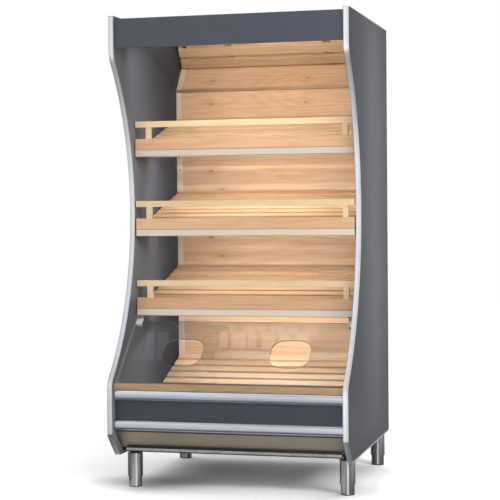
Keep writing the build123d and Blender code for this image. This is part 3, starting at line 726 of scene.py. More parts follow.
@dataclass(frozen=True)
class PaintedLightMetal(Metal):
    """A metal section with painted light and shade across its width, in place of the light that the round or grooved
    face of a profile would catch.
    """

    node: str = "edge_trim_right"
    axis: int = 0
    painted_ramps: tuple[PaintedLightRamp, ...] = ()

    def wire(self, graph: Graph) -> bpy.types.Node:
        """Adds the metal, and paints light and shade across its width."""
        metal = super().wire(graph)
        low, high = (corner[self.axis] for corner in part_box(self.node))
        across = graph.math("ABSOLUTE", graph.split(graph.place())[self.axis])
        part = graph.math("DIVIDE", graph.math("SUBTRACT", across, low), high - low)
        # Painted light and shade: the ramps' tones multiply the metal's colour across its width.
        tone: Any = 1.0
        for ramp in self.painted_ramps:
            tone = graph.times(tone, graph.span(part, ramp.start, ramp.end, ramp.tone_before, ramp.tone_after))
        colour = metal.inputs["Base Color"].links[0].from_socket
        graph.feed(metal.inputs["Base Color"], graph.darken(colour, tone))
        return metal


@dataclass(frozen=True)
class Glow(Finish):
    """The opal cover of a lamp, brighter over each of its light points."""

    base: str = "f3efe6"
    light: str = "ffdfa8"
    between: str = "c9a878"
    strength: float = 0.8
    pitch: float = 0.04

    def wire(self, graph: Graph) -> bpy.types.Node:
        """Adds the row of light points behind the opal skin."""
        place = graph.place()
        skin = Pebble.put(graph, Place=place, Base=tint(self.base), Grit=1200.0, Speckle=0.05, Cloud=0.04, Gloss=0.4)
        wave = graph.math("SINE", graph.times(graph.split(place)[0], 2 * math.pi / self.pitch))
        points = graph.span(wave, -1.0, 1.0, 0.72, 1.0)
        return graph.add("ShaderNodeBsdfPrincipled", {
            "Base Color": skin["Color"],
            "Roughness": skin["Roughness"],
            "Emission Color": graph.mix(points, tint(self.between), tint(self.light)),
            "Emission Strength": self.strength,
            "Normal": graph.relief(skin["Height"], 0.05, 0.0003),
        })


@dataclass(frozen=True)
class Mirror(Finish):
    """Silvered mirror with the faint marks of a cleaning cloth."""

    base: str = "efede9"
    slow_base: str = "e8e6e1"

    def wire(self, graph: Graph) -> bpy.types.Node:
        """Adds the silvering and its marks."""
        place = graph.place()
        marks = Wiping.put(graph, Place=place, Amount=0.035)["Value"]
        slow = graph.span(graph.noise(place, 2.0, 2.0), 0.3, 0.7)
        return graph.add("ShaderNodeBsdfPrincipled", {
            "Base Color": graph.mix(slow, tint(self.base), tint(self.slow_base)),
            "Metallic": 1.0,
            "Roughness": graph.plus(marks, 0.012),
        })


@dataclass(frozen=True)
class Clear(Finish):
    """Clear polished sheet with frosted edges. Light passes straight through it to what lies behind."""

    base: str = "d2d4d4"
    slow_base: str = "ced1d0"
    cut_edge: str = "5c6062"
    frosted: str = "958c84"
    slow_frosted: str = "90877f"
    frost: float = 0.8
    lean: float = 48.0

    def wire(self, graph: Graph) -> bpy.types.Node:
        """Adds the sheet, its marks, its cut edges and its light shadow."""
        place = graph.place()
        marks = Wiping.put(graph, Place=place, Amount=0.04)["Value"]
        slow = graph.span(graph.noise(place, 4.0, 2.0), 0.3, 0.7)
        normal = graph.add("ShaderNodeNewGeometry").outputs["Normal"]
        lean = math.radians(self.lean)
        facing = graph.measure("DOT_PRODUCT", normal, (0.0, -math.cos(lean), math.sin(lean)))
        cut = graph.times(graph.span(graph.math("ABSOLUTE", facing), 0.3, 0.6, 1.0, 0.0), self.frost)
        sideways = graph.span(graph.math("ABSOLUTE", graph.split(normal)[0]), 0.6, 0.9)
        colour = graph.mix(slow, tint(self.base), tint(self.slow_base))
        sheet = graph.add("ShaderNodeBsdfPrincipled", {
            "Base Color": graph.mix(sideways, colour, tint(self.cut_edge)),
            "Metallic": 0.0,
            "Roughness": graph.plus(marks, 0.008),
            "IOR": 1.49,
            "Transmission Weight": 1.0,
        })
        through = graph.add("ShaderNodeBsdfTransparent", {"Color": (0.94, 0.95, 0.95, 1.0)})
        path = graph.add("ShaderNodeLightPath")
        plain = graph.math("MAXIMUM", path.outputs["Is Shadow Ray"], path.outputs["Is Diffuse Ray"], clamp=True)
        frosted = graph.mix(slow, tint(self.frosted), tint(self.slow_frosted))
        frost = graph.add("ShaderNodeBsdfDiffuse", {"Color": graph.mix(sideways, frosted, tint(self.cut_edge))})
        edged = graph.add("ShaderNodeMixShader", {0: cut, 1: sheet.outputs[0], 2: frost.outputs[0]})
        return graph.add("ShaderNodeMixShader", {0: plain, 1: edged.outputs[0], 2: through.outputs[0]})


@dataclass(frozen=True)
class PaintedPool:
    """A soft pool of painted light or painted shadow on the floor: its centre, its reach along X and Y, and its gain,
    above 1 for light and below 1 for shadow.
    """

    centre: Point
    reach: Point
    gain: float


@dataclass(frozen=True)
class FloorFinish(Finish):
    """Matt pale floor. To the camera, to gloss and to glass it shows lifted, so that it meets the background, and
    pools of painted shadow and painted light change that lift near the rack.
    """

    base: str = "cfcfcf"
    slow_base: str = "cbcbcb"
    lift: float = 2.5
    # Painted light in a broad pool under the middle of the rack; painted shadow by the left front foot and along the
    # right side.
    painted_pools: tuple[PaintedPool, ...] = (
        PaintedPool((0.16, 0.02, 0.0), (0.62, 0.42, 1.0), 2.25),
        PaintedPool((-0.45, -0.22, 0.0), (0.32, 0.28, 1.0), 0.5),
        PaintedPool((0.48, 0.02, 0.0), (0.27, 0.62, 1.0), 0.48),
    )

    def wire(self, graph: Graph) -> bpy.types.Node:
        """Adds the floor's faint mottle and its lift, with the pools of painted shadow and painted light."""
        place = graph.place()
        slow = graph.span(graph.noise(place, 1.3, 3.0), 0.3, 0.7)
        shade = graph.mix(slow, tint(self.base), tint(self.slow_base))
        lift: Any = self.lift
        for pool in self.painted_pools:
            lift = PaintedLightPool.put(
                graph, Place=place, Value=lift, Centre=pool.centre, Reach=pool.reach, Gain=pool.gain)["Value"]
        shown = graph.mix(graph.looked_at(), shade, graph.darken(shade, lift))
        return graph.add("ShaderNodeBsdfDiffuse", {"Color": shown})


@dataclass(frozen=True)
class CardFinish(Finish):
    """The even face of a studio card."""

    base: str = "404040"
    strength: float = 1.0

    def wire(self, graph: Graph) -> bpy.types.Node:
        """Adds the card's face, with a faint mottle."""
        slow = graph.span(graph.noise(graph.place(), 1.5, 1.0), 0.3, 0.7, 0.92, 1.0)
        shade = graph.darken(tint(self.base)[:3], slow)
        return graph.add("ShaderNodeEmission", {"Color": shade, "Strength": self.strength})


class Finishes:
    """Every finish of the rack, in the record's slots."""

    def __init__(self) -> None:
        """Sets out the finishes."""
        wall_face = 0.456
        knots = tuple(Knot((x, wall_face, z), radius) for x, z, radius in (
            (-0.3250, 1.711, 0.0085), (0.1420, 1.709, 0.0075), (-0.3280, 1.390, 0.0085),
            (-0.2740, 1.303, 0.0070), (-0.3320, 1.072, 0.0085), (-0.2780, 0.981, 0.0070)))
        self.panel = PanelSkin(
            "grey_laminate", Slot.LAMINATE_GREY, base="4e4f53", gloss=0.48, speckle=0.14, cloud=0.06, specular=0.25)
        # The fascia and the front panel are lighter and darker copies of one dark laminate: painted light and shade.
        self.fascia, self.front = (
            Skin(name, Slot.LAMINATE_DARK, base=base, gloss=0.4, speckle=0.12, worn="80838c")
            for name, base in (("dark_laminate", "4a4f5a"), ("dark_front", "3c404a")))
        self.wall = Beech(
            "beech_wall", Slot.BEECH, pale="ebc69e", dark="d5a272", figure=0.95, piece=11.0, knots=knots)
        self.beech = Beech("beech_carcass", Slot.BEECH, pale="dcb48a", dark="c0905f", piece=23.0)
        self.deck = Beech(
            "beech_deck", Slot.BEECH_LIGHT, pale="eac59b", dark="d3a67a", spread=0.12, piece=31.0,
            slats=SlatOrder(-0.2078, 21.0))
        # The lip is a darker copy of the light beech: painted shade.
        self.lip = Beech("beech_lip", Slot.BEECH_LIGHT, pale="c9a682", dark="a07c5c", piece=47.0)
        # Each shelf's slats are a lighter or darker copy of the light beech: painted light and shade for how the light
        # falls on that shelf.
        self.shelf_slats = {
            n: Beech(
                f"beech_slats_{n}", Slot.BEECH_LIGHT, pale=pale, dark=dark, spread=0.12, piece=60.0 + 17 * n,
                slats=SlatOrder(0.0670 + 0.09675 * (n - 1), 16.0))
            for n, pale, dark in ((1, "d8b289", "c5986b"), (2, "e2b88b", "ce9d6c"), (3, "dfbd94", "cba073"))
        }
        self.boards = {
            n: Beech(f"beech_board_{n}", Slot.BEECH_LIGHT, pale="f2c69f", dark="dda679", piece=150.0 + 13 * n)
            for n in SHELVES
        }
        # The rails are lighter and darker copies of one beech, the lowest darkest: painted light and shade.
        self.rails = {
            n: Beech(f"beech_rail_{n}", Slot.BEECH_LIGHT, pale=pale, dark=dark, piece=200.0 + 11 * n)
            for n, pale, dark in ((1, "ffe8bf", "f9d0a3"), (2, "ffe8bf", "f5d0a2"), (3, "fbdab0", "eabf92"))
        }
        # Painted light and shade across the trim's width: painted shade along its inner edge and towards its outer
        # side, with a painted highlight between.
        self.trim = PaintedLightMetal(
            "satin_aluminium", Slot.ALUMINIUM, base="dadcdf", gloss=0.42, depth=0.12, stain=0.05, bump=0.04,
            run=Run.ALONG_Z, painted_ramps=(PaintedLightRamp(0.03, 0.16, 0.6, 1.12), PaintedLightRamp(0.4, 0.95, 1.0, 0.8)))
        # The ledge's warm beige tint stands in for the beech that it mirrors: a painted reflection.
        self.channel, self.ledge = (
            Metal(name, Slot.ALUMINIUM, base=base, gloss=gloss, depth=0.15, stain=0.06, bump=0.05)
            for name, base, gloss in (("lamp_channel", "c9cacc", 0.38), ("ledge_metal", "f3d8b6", 0.6)))
        # Painted light and shade across the bumpers' height: a painted highlight near the top of the upper one with
        # painted shade below it, and lighter and darker bands on the lower one.
        self.bumpers = {
            name: PaintedLightMetal(
                f"blue_grey_{name}", Slot.BUMPER, base="dfe3eb", gloss=0.3, depth=0.02, stain=0.02, bump=0.0,
                uneven=0.1, node=name, axis=2, painted_ramps=painted_ramps)
            for name, painted_ramps in (
                ("bumper_upper", (
                    PaintedLightRamp(0.05, 0.36, 2.1, 1.0), PaintedLightRamp(0.3, 0.78, 0.56, 0.95), PaintedLightRamp(0.82, 0.93, 1.0, 1.45))),
                ("bumper_lower", (
                    PaintedLightRamp(0.02, 0.3, 0.75, 1.0), PaintedLightRamp(0.3, 0.6, 0.78, 0.93), PaintedLightRamp(0.66, 0.9, 1.0, 0.78))),
            )
        }
        self.plate, self.under, self.front_rail = (
            Metal(name, Slot.STEEL, base=base, gloss=gloss, depth=depth, stain=stain, bump=bump)
            for name, base, gloss, depth, stain, bump in (
                ("brushed_plate", "8d8477", 0.34, 0.35, 0.14, 0.08),
                ("dull_plate", "7d7c7b", 0.5, 0.3, 0.14, 0.08),
                ("rail_plate", "d0cecb", 0.26, 0.12, 0.05, 0.01),
            ))
        self.tube = Metal(
            "brushed_tube", Slot.STEEL, base="b4b3b1", gloss=0.36, depth=0.5, stain=0.1, bump=0.1, uneven=0.5,
            run=Run.ALONG_Z, pull=0.85)
        self.upright = Skin(
            "beige_coat", Slot.BEIGE_PAINT, base="e2cfb3", grit=1400.0, speckle=0.1, gloss=0.5, bump=0.15,
            worn="e6dccb")
        self.hinge = Skin("grey_coat", Slot.GREY_PAINT, base="8b8d92", grit=1400.0, speckle=0.12, gloss=0.4)
        moulded: dict[str, Any] = {"grit": 700.0, "speckle": 0.05, "cloud": 0.04, "bump": 0.04}
        # The strips of the lower shelves are darker copies of one moulding: painted shade.
        self.strips = {
            n: Skin(f"strip_moulding_{n}", Slot.STRIP, base=base, gloss=0.42, worn="efe4d4", **moulded)
            for n, base in ((1, "fae7d3"), (2, "f2dfca"), (3, "e5d2be"))
        }
        # The lips of the price strips are darker than the strips: a painted shade line along each strip.
        self.strip_lip = Skin("strip_lip", Slot.STRIP, base="b5a48f", gloss=0.4, worn="e2d6c6", **moulded)
        self.black = Skin("black_moulding", Slot.BLACK_PLASTIC, base="1d1e20", grit=1600.0, gloss=0.5, worn="3b3c3f")
        self.white = Skin(
            "white_moulding", Slot.WHITE_PLASTIC, base="eeeeec", grit=1600.0, speckle=0.04, cloud=0.04, gloss=0.3,
            worn="f6f6f4")
        self.glow = Glow("opal_cover", Slot.DIFFUSER)
        self.mirror = Mirror("silvered_mirror", Slot.MIRROR)
        self.pane = Clear("clear_sheet", Slot.PANE)


@dataclass(frozen=True)
class Lamp:
    """A soft lamp that the camera doesn't see: its place, what it faces, its width and height, its power and beam."""

    name: str
    at: Point
    towards: Point
    size: Flat
    watts: float
    colour: str = "ffffff"
    mirrored: bool = False
    spread: float = 180.0


@dataclass(frozen=True)
class Card:
    """A flat card that only gloss sees, between two opposite corners that share one coordinate."""

    name: str
    shade: str
    low: Point
    high: Point
    strength: float = 1.0

    def corners(self) -> list[Point]:
        """Returns its four corners in order round it."""
        first, second = (k for k in range(3) if self.low[k] != self.high[k])
        points = []
        for p, q in ((self.low, self.low), (self.high, self.low), (self.high, self.high), (self.low, self.high)):
            corner = list(self.low)
            corner[first], corner[second] = p[first], q[second]
            points.append((corner[0], corner[1], corner[2]))
        return points


@dataclass
class Studio:
    """The floor, the soft light and the camera."""

    lens: float = 106.70
    sensor: float = 36.0
    camera_at: Point = (1.6663, -6.4015, 1.2317)
    yaw: float = 14.741
    pitch: float = 1.795
    roll: float = -0.529
    floor_reach: float = 14.0
    floor_steps: int = 8
    dome: float = 0.62
    right_side: float = 0.27
    lamps: tuple[Lamp, ...] = (
        Lamp("side_lamp", (0.93, 0.17, 1.25), (0.52, 0.17, 1.25), (0.14, 1.8), 7.5),
        Lamp("front_lamp", (1.5, -3.6, 3.0), (0.0, 0.0, 1.0), (1.8, 1.2), 20.0, mirrored=True),
        Lamp("fill_lamp", (1.2, -5.0, 4.4), (0.0, 0.0, 0.8), (2.6, 1.6), 31.0),
        Lamp("right_lamp", (3.4, -2.3, 2.4), (-0.4, 0.0, 1.1), (2.0, 1.6), 66.0),
    )
    flags: tuple[Card, ...] = (
        Card("rear_flag", "45484e", (0.7, 1.6, 0.0), (3.2, 1.6, 3.0)),
        Card("ceiling_flag", "eef0f5", (-5.0, -6.0, 3.4), (5.0, -0.9, 3.4)),
        Card("floor_flag", "5c5e64", (-1.6, -1.5, 0.002), (1.3, -0.52, 0.002)),
        Card("under_flag", "47484b", (-1.7, -0.23, 0.002), (0.9, 1.5, 0.002)),
        Card("toe_flag", "26272a", (-1.5, -0.6, 0.003), (-0.55, -0.23, 0.003)),
        Card("right_toe_flag", "5e6064", (0.44, -0.6, 0.003), (0.9, -0.23, 0.003)),
        Card("fascia_flag", "2a2b2e", (-1.1, -4.0, 1.6), (-0.3, -4.0, 3.2)),
        Card("left_flag", "777a80", (-2.3, -2.0, 0.0), (-2.3, 1.5, 0.5)),
        Card("right_flag", "1c1d20", (2.1, -1.75, 0.0), (2.1, -0.9, 1.0)),
        Card("far_floor_flag", "e2e4e9", (-3.6, -4.2, 0.002), (0.6, -1.5, 0.002)),
        Card("trim_flag", "7c7e83", (-0.15, -1.3, 0.6), (0.45, -1.3, 1.32)),
        Card("far_right_flag", "6c6e74", (2.1, -0.6, 0.0), (2.1, 1.6, 0.5)),
        Card("pane_flag", "5b5d61", (-2.6, -0.54, 2.4), (-0.6, 0.4, 2.4)),
    )
    window_height: float = 1.9
    window_spans: tuple[Flat, ...] = (
        (-0.445, -0.401), (-0.382, -0.305), (-0.294, -0.248), (-0.219, -0.145), (-0.129, -0.071), (-0.039, 0.034))
    side_window_spans: tuple[Flat, ...] = ((-0.93, -0.80), (-0.785, -0.72))
    shine: Card = Card("shine_card", "ffffff", (0.75, -3.0, 0.0), (1.9, -3.0, 1.2), 7.0)

    def build_camera(self) -> None:
        """Sets the camera at the photograph's angle."""
        yaw, pitch, roll = (math.radians(a) for a in (self.yaw, self.pitch, self.roll))
        ahead = Vector((-math.sin(yaw) * math.cos(pitch), math.cos(yaw) * math.cos(pitch), -math.sin(pitch)))
        right = Vector((math.cos(yaw), math.sin(yaw), 0.0))
        up = right.cross(ahead)
        right_rolled = right * math.cos(roll) + up * math.sin(roll)
        up_rolled = -right * math.sin(roll) + up * math.cos(roll)
        data = bpy.data.cameras.new("camera")
        data.lens = self.lens
        data.sensor_width = self.sensor
        data.sensor_fit = "HORIZONTAL"
        camera = bpy.data.objects.new("camera", data)
        turn = Matrix((right_rolled, up_rolled, -ahead)).transposed()
        camera.matrix_world = Matrix.Translation(self.camera_at) @ turn.to_4x4()
        bpy.context.scene.collection.objects.link(camera)
        bpy.context.scene.camera = camera
        LOG.info("camera set")

    def build_world(self) -> None:
        """Makes the soft dome, which the camera, gloss and glass see as a white background."""
        world = bpy.data.worlds.new("studio")
        world.use_nodes = True
        world.node_tree.nodes.clear()
        graph = Graph(world.node_tree)
        x, _, z = graph.split(graph.add("ShaderNodeTexCoord").outputs["Generated"])
        lift = graph.times(
            graph.span(z, -0.02, 0.75, 0.33, 1.5), graph.span(x, -0.3, 0.95, 1.05, self.right_side))
        dome = graph.darken((0.985, 0.995, 1.0), lift)
        soft = graph.add("ShaderNodeBackground", {"Color": dome, "Strength": self.dome})
        white = graph.add("ShaderNodeBackground", {"Color": (1.0, 1.0, 1.0, 1.0), "Strength": 1.0})
        shown = graph.add("ShaderNodeMixShader", {0: graph.looked_at(), 1: soft.outputs[0], 2: white.outputs[0]})
        graph.add("ShaderNodeOutputWorld", {"Surface": shown.outputs[0]})
        bpy.context.scene.world = world
        LOG.info("world set")

    def build_floor(self) -> None:
        """Makes the pale floor, as a grid of squares."""
        steps, row = self.floor_steps, self.floor_steps + 1
        marks = [-self.floor_reach + 2 * self.floor_reach * i / steps for i in range(row)]
        faces = [(j * row + i, j * row + i + 1, (j + 1) * row + i + 1, (j + 1) * row + i)
                 for j in range(steps) for i in range(steps)]
        mesh = bpy.data.meshes.new("floor")
        mesh.from_pydata([(x, y, 0.0) for y in marks for x in marks], [], faces)
        floor = bpy.data.objects.new("floor", mesh)
        bpy.context.scene.collection.objects.link(floor)
        mesh.materials.append(FloorFinish("studio_floor", Slot.LAMINATE_GREY).material())
        LOG.info("floor laid")

    def hang(self, lamp: Lamp) -> None:
        """Hangs a lamp.

        Args:
            lamp: The lamp.
        """
        data = bpy.data.lights.new(lamp.name, "AREA")
        data.shape = "RECTANGLE"
        data.size, data.size_y = lamp.size
        data.energy = lamp.watts
        data.spread = math.radians(lamp.spread)
        data.color = tint(lamp.colour)[:3]
        made = bpy.data.objects.new(lamp.name, data)
        made.location = lamp.at
        way = Vector(lamp.towards) - Vector(lamp.at)
        made.rotation_euler = way.to_track_quat("-Z", "Y").to_euler()
        made.visible_camera = False
        made.visible_glossy = lamp.mirrored
        made.visible_transmission = lamp.mirrored
        bpy.context.scene.collection.objects.link(made)
        LOG.info("lamp %s hung", lamp.name)

    def stand(self, plan: Card) -> None:
        """Stands up a card, which gives metal and laminate something to mirror.

        Args:
            plan: The card. Its light isn't sampled, so that it adds no noise.
        """
        mesh = bpy.data.meshes.new(plan.name)
        mesh.from_pydata(plan.corners(), [], [(0, 1, 2, 3)])
        card = bpy.data.objects.new(plan.name, mesh)
        bpy.context.scene.collection.objects.link(card)
        face = CardFinish(f"card_{plan.name}", Slot.BLACK_PLASTIC, plan.shade, plan.strength).material()
        face.cycles.emission_sampling = "NONE"
        mesh.materials.append(face)
        for way in ("camera", "diffuse", "transmission", "volume_scatter", "shadow"):
            setattr(card, f"visible_{way}", False)
        LOG.info("card %s stood up", plan.name)

    def windows(self) -> Iterable[Card]:
        """Returns the bright cards that the pane shows as the windows of a room."""
        z = self.window_height
        for name, spans, front, shade, strength in (
            ("window", self.window_spans, (-0.292, -0.205), "fbf6ec", 1.8),
            ("side_window", self.side_window_spans, (-0.36, -0.215), "e9ecf4", 0.8),
        ):
            for k, (left, right) in enumerate(spans):
                yield Card(f"{name}_{k}", shade, (left, front[0], z), (right, front[1], z), strength)

    def build(self) -> None:
        """Builds the whole studio."""
        bpy.context.scene.view_settings.view_transform = "Standard"
        self.build_camera()
        self.build_world()
        self.build_floor()
        for lamp in self.lamps:
            self.hang(lamp)
        for card in (*self.flags, *self.windows(), self.shine):
            self.stand(card)


@dataclass
class Maker:
    """Makes pieces in mesh code, fixes each to its body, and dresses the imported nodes."""

    nodes: dict[str, bpy.types.Object]
    finishes: Finishes

    def piece(self, name: str, body: Body, finish: Finish, shape: bmesh.types.BMesh) -> None:
        """Turns a shape into a piece of the rack.

        Args:
            name: The piece's name.
            body: The body that it moves with.
            finish: Its finish.
            shape: Its mesh, which this call frees.
        """
        bmesh.ops.recalc_face_normals(shape, faces=shape.faces)
        mesh = bpy.data.meshes.new(name)
        shape.to_mesh(mesh)
        shape.free()
        made = bpy.data.objects.new(name, mesh)
        bpy.context.scene.collection.objects.link(made)
        mesh.materials.append(finish.material())
        mesh.shade_smooth()
        mesh.set_sharp_from_angle(angle=SMOOTH_UP_TO)
        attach(made, body.value)
        LOG.info("made %s on %s", name, body.value)

    def dress(self, name: str, finish: Finish) -> None:
        """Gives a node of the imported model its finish.

        Args:
            name: The node.
            finish: Its finish.
        """
        made = finish.material()
        for slot in self.nodes[name].material_slots:
            slot.material = made
        LOG.info("dressed %s in %s", name, finish.name)


def spaced(low: float, high: float, inset: float, count: int) -> list[float]:
    """Returns evenly spaced places from one end to the other, both drawn in by an inset."""
    return [low + inset + (high - low - 2 * inset) * k / (count - 1) for k in range(count)]


def quarter(p: float, q: float, radius: float, start: float, steps: int) -> list[Flat]:
    """Returns the points of a quarter circle round a centre, from a start angle in degrees."""
    angles = [math.radians(start + 90.0 * k / steps) for k in range(steps + 1)]
    return [(p + radius * math.cos(angle), q + radius * math.sin(angle)) for angle in angles]


def ring_points(radius: float, count: int, height: float) -> list[Point]:
    """Returns the points of a circle round the Z axis."""
    return [(radius * math.cos(2 * math.pi * i / count), radius * math.sin(2 * math.pi * i / count), height)
            for i in range(count)]


def facing(at: Iterable[float], out: Point) -> Matrix:
    """Returns the matrix that takes the origin to a place and the Z axis to a direction."""
    return Matrix.Translation(tuple(at)) @ Vector(out).to_track_quat("Z", "Y").to_matrix().to_4x4()


def stack_rings(shape: bmesh.types.BMesh, rings: Sequence[Sequence[Point]], place: Matrix) -> None:
    """Joins rings of points into one closed skin.

    Args:
        shape: The mesh that the skin goes into.
        rings: The rings in order, all with the same number of points.
        place: Where the skin goes.
    """
    made = [[shape.verts.new(place @ Vector(p)) for p in ring] for ring in rings]
    count = len(rings[0])
    for low, high in zip(made, made[1:]):
        for i in range(count):
            j = (i + 1) % count
            shape.faces.new((low[i], low[j], high[j], high[i]))
    shape.faces.new(list(reversed(made[0])))
    shape.faces.new(made[-1])


def lathe(shape: bmesh.types.BMesh, profile: Iterable[Flat], place: Matrix, count: int) -> None:
    """Turns a profile round the Z axis.

    Args:
        shape: The mesh that it goes into.
        profile: Radius and height of each ring.
        place: Where it goes.
        count: The number of points of a ring.
    """
    stack_rings(shape, [ring_points(r, count, z) for r, z in profile], place)


def rounded_frame(p0: float, p1: float, q0: float, q1: float, radius: float, steps: int = 4) -> list[Flat]:
    """Draws a rectangle with rounded corners.

    Args:
        p0: Its least first value.
        p1: Its greatest first value.
        q0: Its least second value.
        q1: Its greatest second value.
        radius: The radius of its corners.
        steps: The number of edges of a corner.

    Returns:
        The points of the outline.
    """
    left, right, low, high = p0 + radius, p1 - radius, q0 + radius, q1 - radius
    corners = ((right, high, 0.0), (left, high, 90.0), (left, low, 180.0), (right, low, 270.0))
    return [point for p, q, start in corners for point in quarter(p, q, radius, start, steps)]


def draw_out(
    shape: bmesh.types.BMesh, outline: Sequence[Flat], axis: Run, start: float, end: float, ease: float = 0.0003,
) -> None:
    """Draws an outline out along X or Y, with eased ends.

    Args:
        shape: The mesh that it goes into.
        outline: Its points, as (y, z) along X or as (x, z) along Y.
        axis: The direction.
        start: Where it begins.
        end: Where it ends.
        ease: How much its ends are eased.
    """
    middle_p = sum(p for p, _ in outline) / len(outline)
    middle_q = sum(q for _, q in outline) / len(outline)

    def ring(at: float, inset: float) -> list[Point]:
        """Returns the outline at one place, drawn in by a little."""
        points = []
        for p, q in outline:
            away = math.hypot(p - middle_p, q - middle_q)
            keep = max(0.2, 1.0 - inset / away)
            first, second = middle_p + (p - middle_p) * keep, middle_q + (q - middle_q) * keep
            points.append((at, first, second) if axis is Run.ALONG_X else (first, at, second))
        return points

    rings = [ring(start, ease), ring(start + ease, 0.0), ring(end - ease, 0.0), ring(end, ease)]
    stack_rings(shape, rings, Matrix.Identity(4))


def screw(shape: bmesh.types.BMesh, at: Point, out: Point, radius: float = 0.004, rise: float = 0.0018) -> None:
    """Adds a button-head screw with a hexagon socket.

    Args:
        shape: The mesh that it goes into.
        at: The centre of the seat under its head.
        out: The direction in which the head stands out.
        radius: The head's radius.
        rise: The head's height.
    """
    count = 24

    def hexagon(size: float, height: float) -> list[Point]:
        """Returns the points of a ring pressed into a hexagon."""
        points = []
        for i in range(count):
            angle = 2 * math.pi * i / count
            side = (angle + math.pi / 6) % (math.pi / 3) - math.pi / 6
            reach = size / math.cos(side)
            points.append((reach * math.cos(angle), reach * math.sin(angle), height))
        return points

    head = ((1.0, -0.0005), (1.0, 0.0), (0.97, rise * 0.45), (0.8, rise * 0.85), (0.6, rise))
    socket = ((0.42, rise), (0.4, rise * 0.25), (0.1, rise * 0.2))
    rings = [ring_points(radius * part, count, height) for part, height in head]
    rings += [hexagon(radius * part, height) for part, height in socket]
    stack_rings(shape, rings, facing(at, out))


@dataclass
class Part:
    """A sub-assembly: the finishes of its nodes, the small pieces that it adds to them, and its lights."""

    maker: Maker

    def build(self) -> None:
        """Adds the small pieces."""
        raise NotImplementedError

    def looks(self) -> dict[str, Finish]:
        """Returns the finish of each of its nodes."""
        raise NotImplementedError

    def lamps(self) -> tuple[Lamp, ...]:
        """Returns the lights that hang in it."""
        return ()


@dataclass
class Carcass(Part):
    """Side panels with their trim, fascia, roof, back wall and rear panel."""

    screw_inset: float = 0.03
    screws_in_row: int = 6
    roof_screw_x: float = 0.485
    spare_hole_x: float = 0.4845
    spare_hole_heights: Flat = (1.398, 1.458)
    upright_face: float = 0.450
    insert_points: int = 24
    insert: tuple[Flat, ...] = (
        (0.0036, -0.0004), (0.0036, 0.0004), (0.0031, 0.0008), (0.0023, 0.0008), (0.0018, -0.002), (0.0004, -0.002))

    def build(self) -> None:
        """Adds the screws of the rear panel and the roof, and the black inserts of the uprights' spare holes."""
        finishes = self.maker.finishes
        low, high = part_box("rear_panel")
        shape = bmesh.new()
        for x in (low.x + self.screw_inset, 0.0, high.x - self.screw_inset):
            for z in spaced(low.z, high.z, self.screw_inset, self.screws_in_row):
                screw(shape, (x, high.y, z), TO_REAR)
        self.maker.piece("rear_panel_screws", Body.CABINET, finishes.plate, shape)
        low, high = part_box("roof_panel")
        shape = bmesh.new()
        for x in (-self.roof_screw_x, self.roof_screw_x):
            for y in spaced(low.y, high.y, self.screw_inset, self.screws_in_row):
                screw(shape, (x, y, high.z), UP)
        self.maker.piece("roof_screws", Body.CABINET, finishes.under, shape)
        shape = bmesh.new()
        for x in (-self.spare_hole_x, self.spare_hole_x):
            for z in self.spare_hole_heights:
                lathe(shape, self.insert, facing((x, self.upright_face, z), TO_FRONT), self.insert_points)
        self.maker.piece("spare_hole_inserts", Body.CABINET, finishes.black, shape)

    def looks(self) -> dict[str, Finish]:
        """Returns the finish of each of its nodes."""
        finishes = self.maker.finishes
        panels = ("side_panel_left", "side_panel_right", "roof_panel", "rear_panel")
        return {
            **dict.fromkeys(panels, finishes.panel),
            **dict.fromkeys(("edge_trim_left", "edge_trim_right"), finishes.trim),
            "fascia_panel": finishes.fascia, "back_wall": finishes.wall, "uprights": finishes.upright,
        }


@dataclass
class Canopy(Part):
    """The mirror under the roof, with the lamp behind the fascia."""

    cap_thick: float = 0.0025
    cap_lap: float = 0.0008
    cap_round: float = 0.004
    cap_ease: float = 0.0006
    lamp_short: float = 0.16
    lamp_below: float = 0.006

    def build(self) -> None:
        """Closes the ends of the lamp's channel with caps."""
        low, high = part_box("canopy_lamp")
        lap = self.cap_lap
        outline = rounded_frame(low.y - lap, high.y + lap, low.z - lap, high.z - lap, self.cap_round)
        shape = bmesh.new()
        draw_out(shape, outline, Run.ALONG_X, high.x, high.x + self.cap_thick, self.cap_ease)
        draw_out(shape, outline, Run.ALONG_X, low.x - self.cap_thick, low.x, self.cap_ease)
        self.maker.piece("canopy_lamp_caps", Body.CABINET, self.maker.finishes.white, shape)

    def looks(self) -> dict[str, Finish]:
        """Returns the finish of each of its nodes."""
        finishes = self.maker.finishes
        return {
            "mirror": finishes.mirror, "mirror_backing": finishes.beech, "mirror_ledge": finishes.ledge,
            "canopy_lamp": finishes.channel, "canopy_lamp_cover": finishes.glow, "lamp_driver": finishes.white,
        }

    def lamps(self) -> tuple[Lamp, ...]:
        """Returns the light of the canopy lamp."""
        low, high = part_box("canopy_lamp_cover")
        middle = (low + high) / 2
        size = (high.x - low.x - self.lamp_short, high.y - low.y)
        at = (0.0, middle.y, low.z - self.lamp_below)
        return (Lamp("canopy_light", at, (0.0, 0.45, 1.6), size, 5.2, "f6f6ff", spread=125.0),)


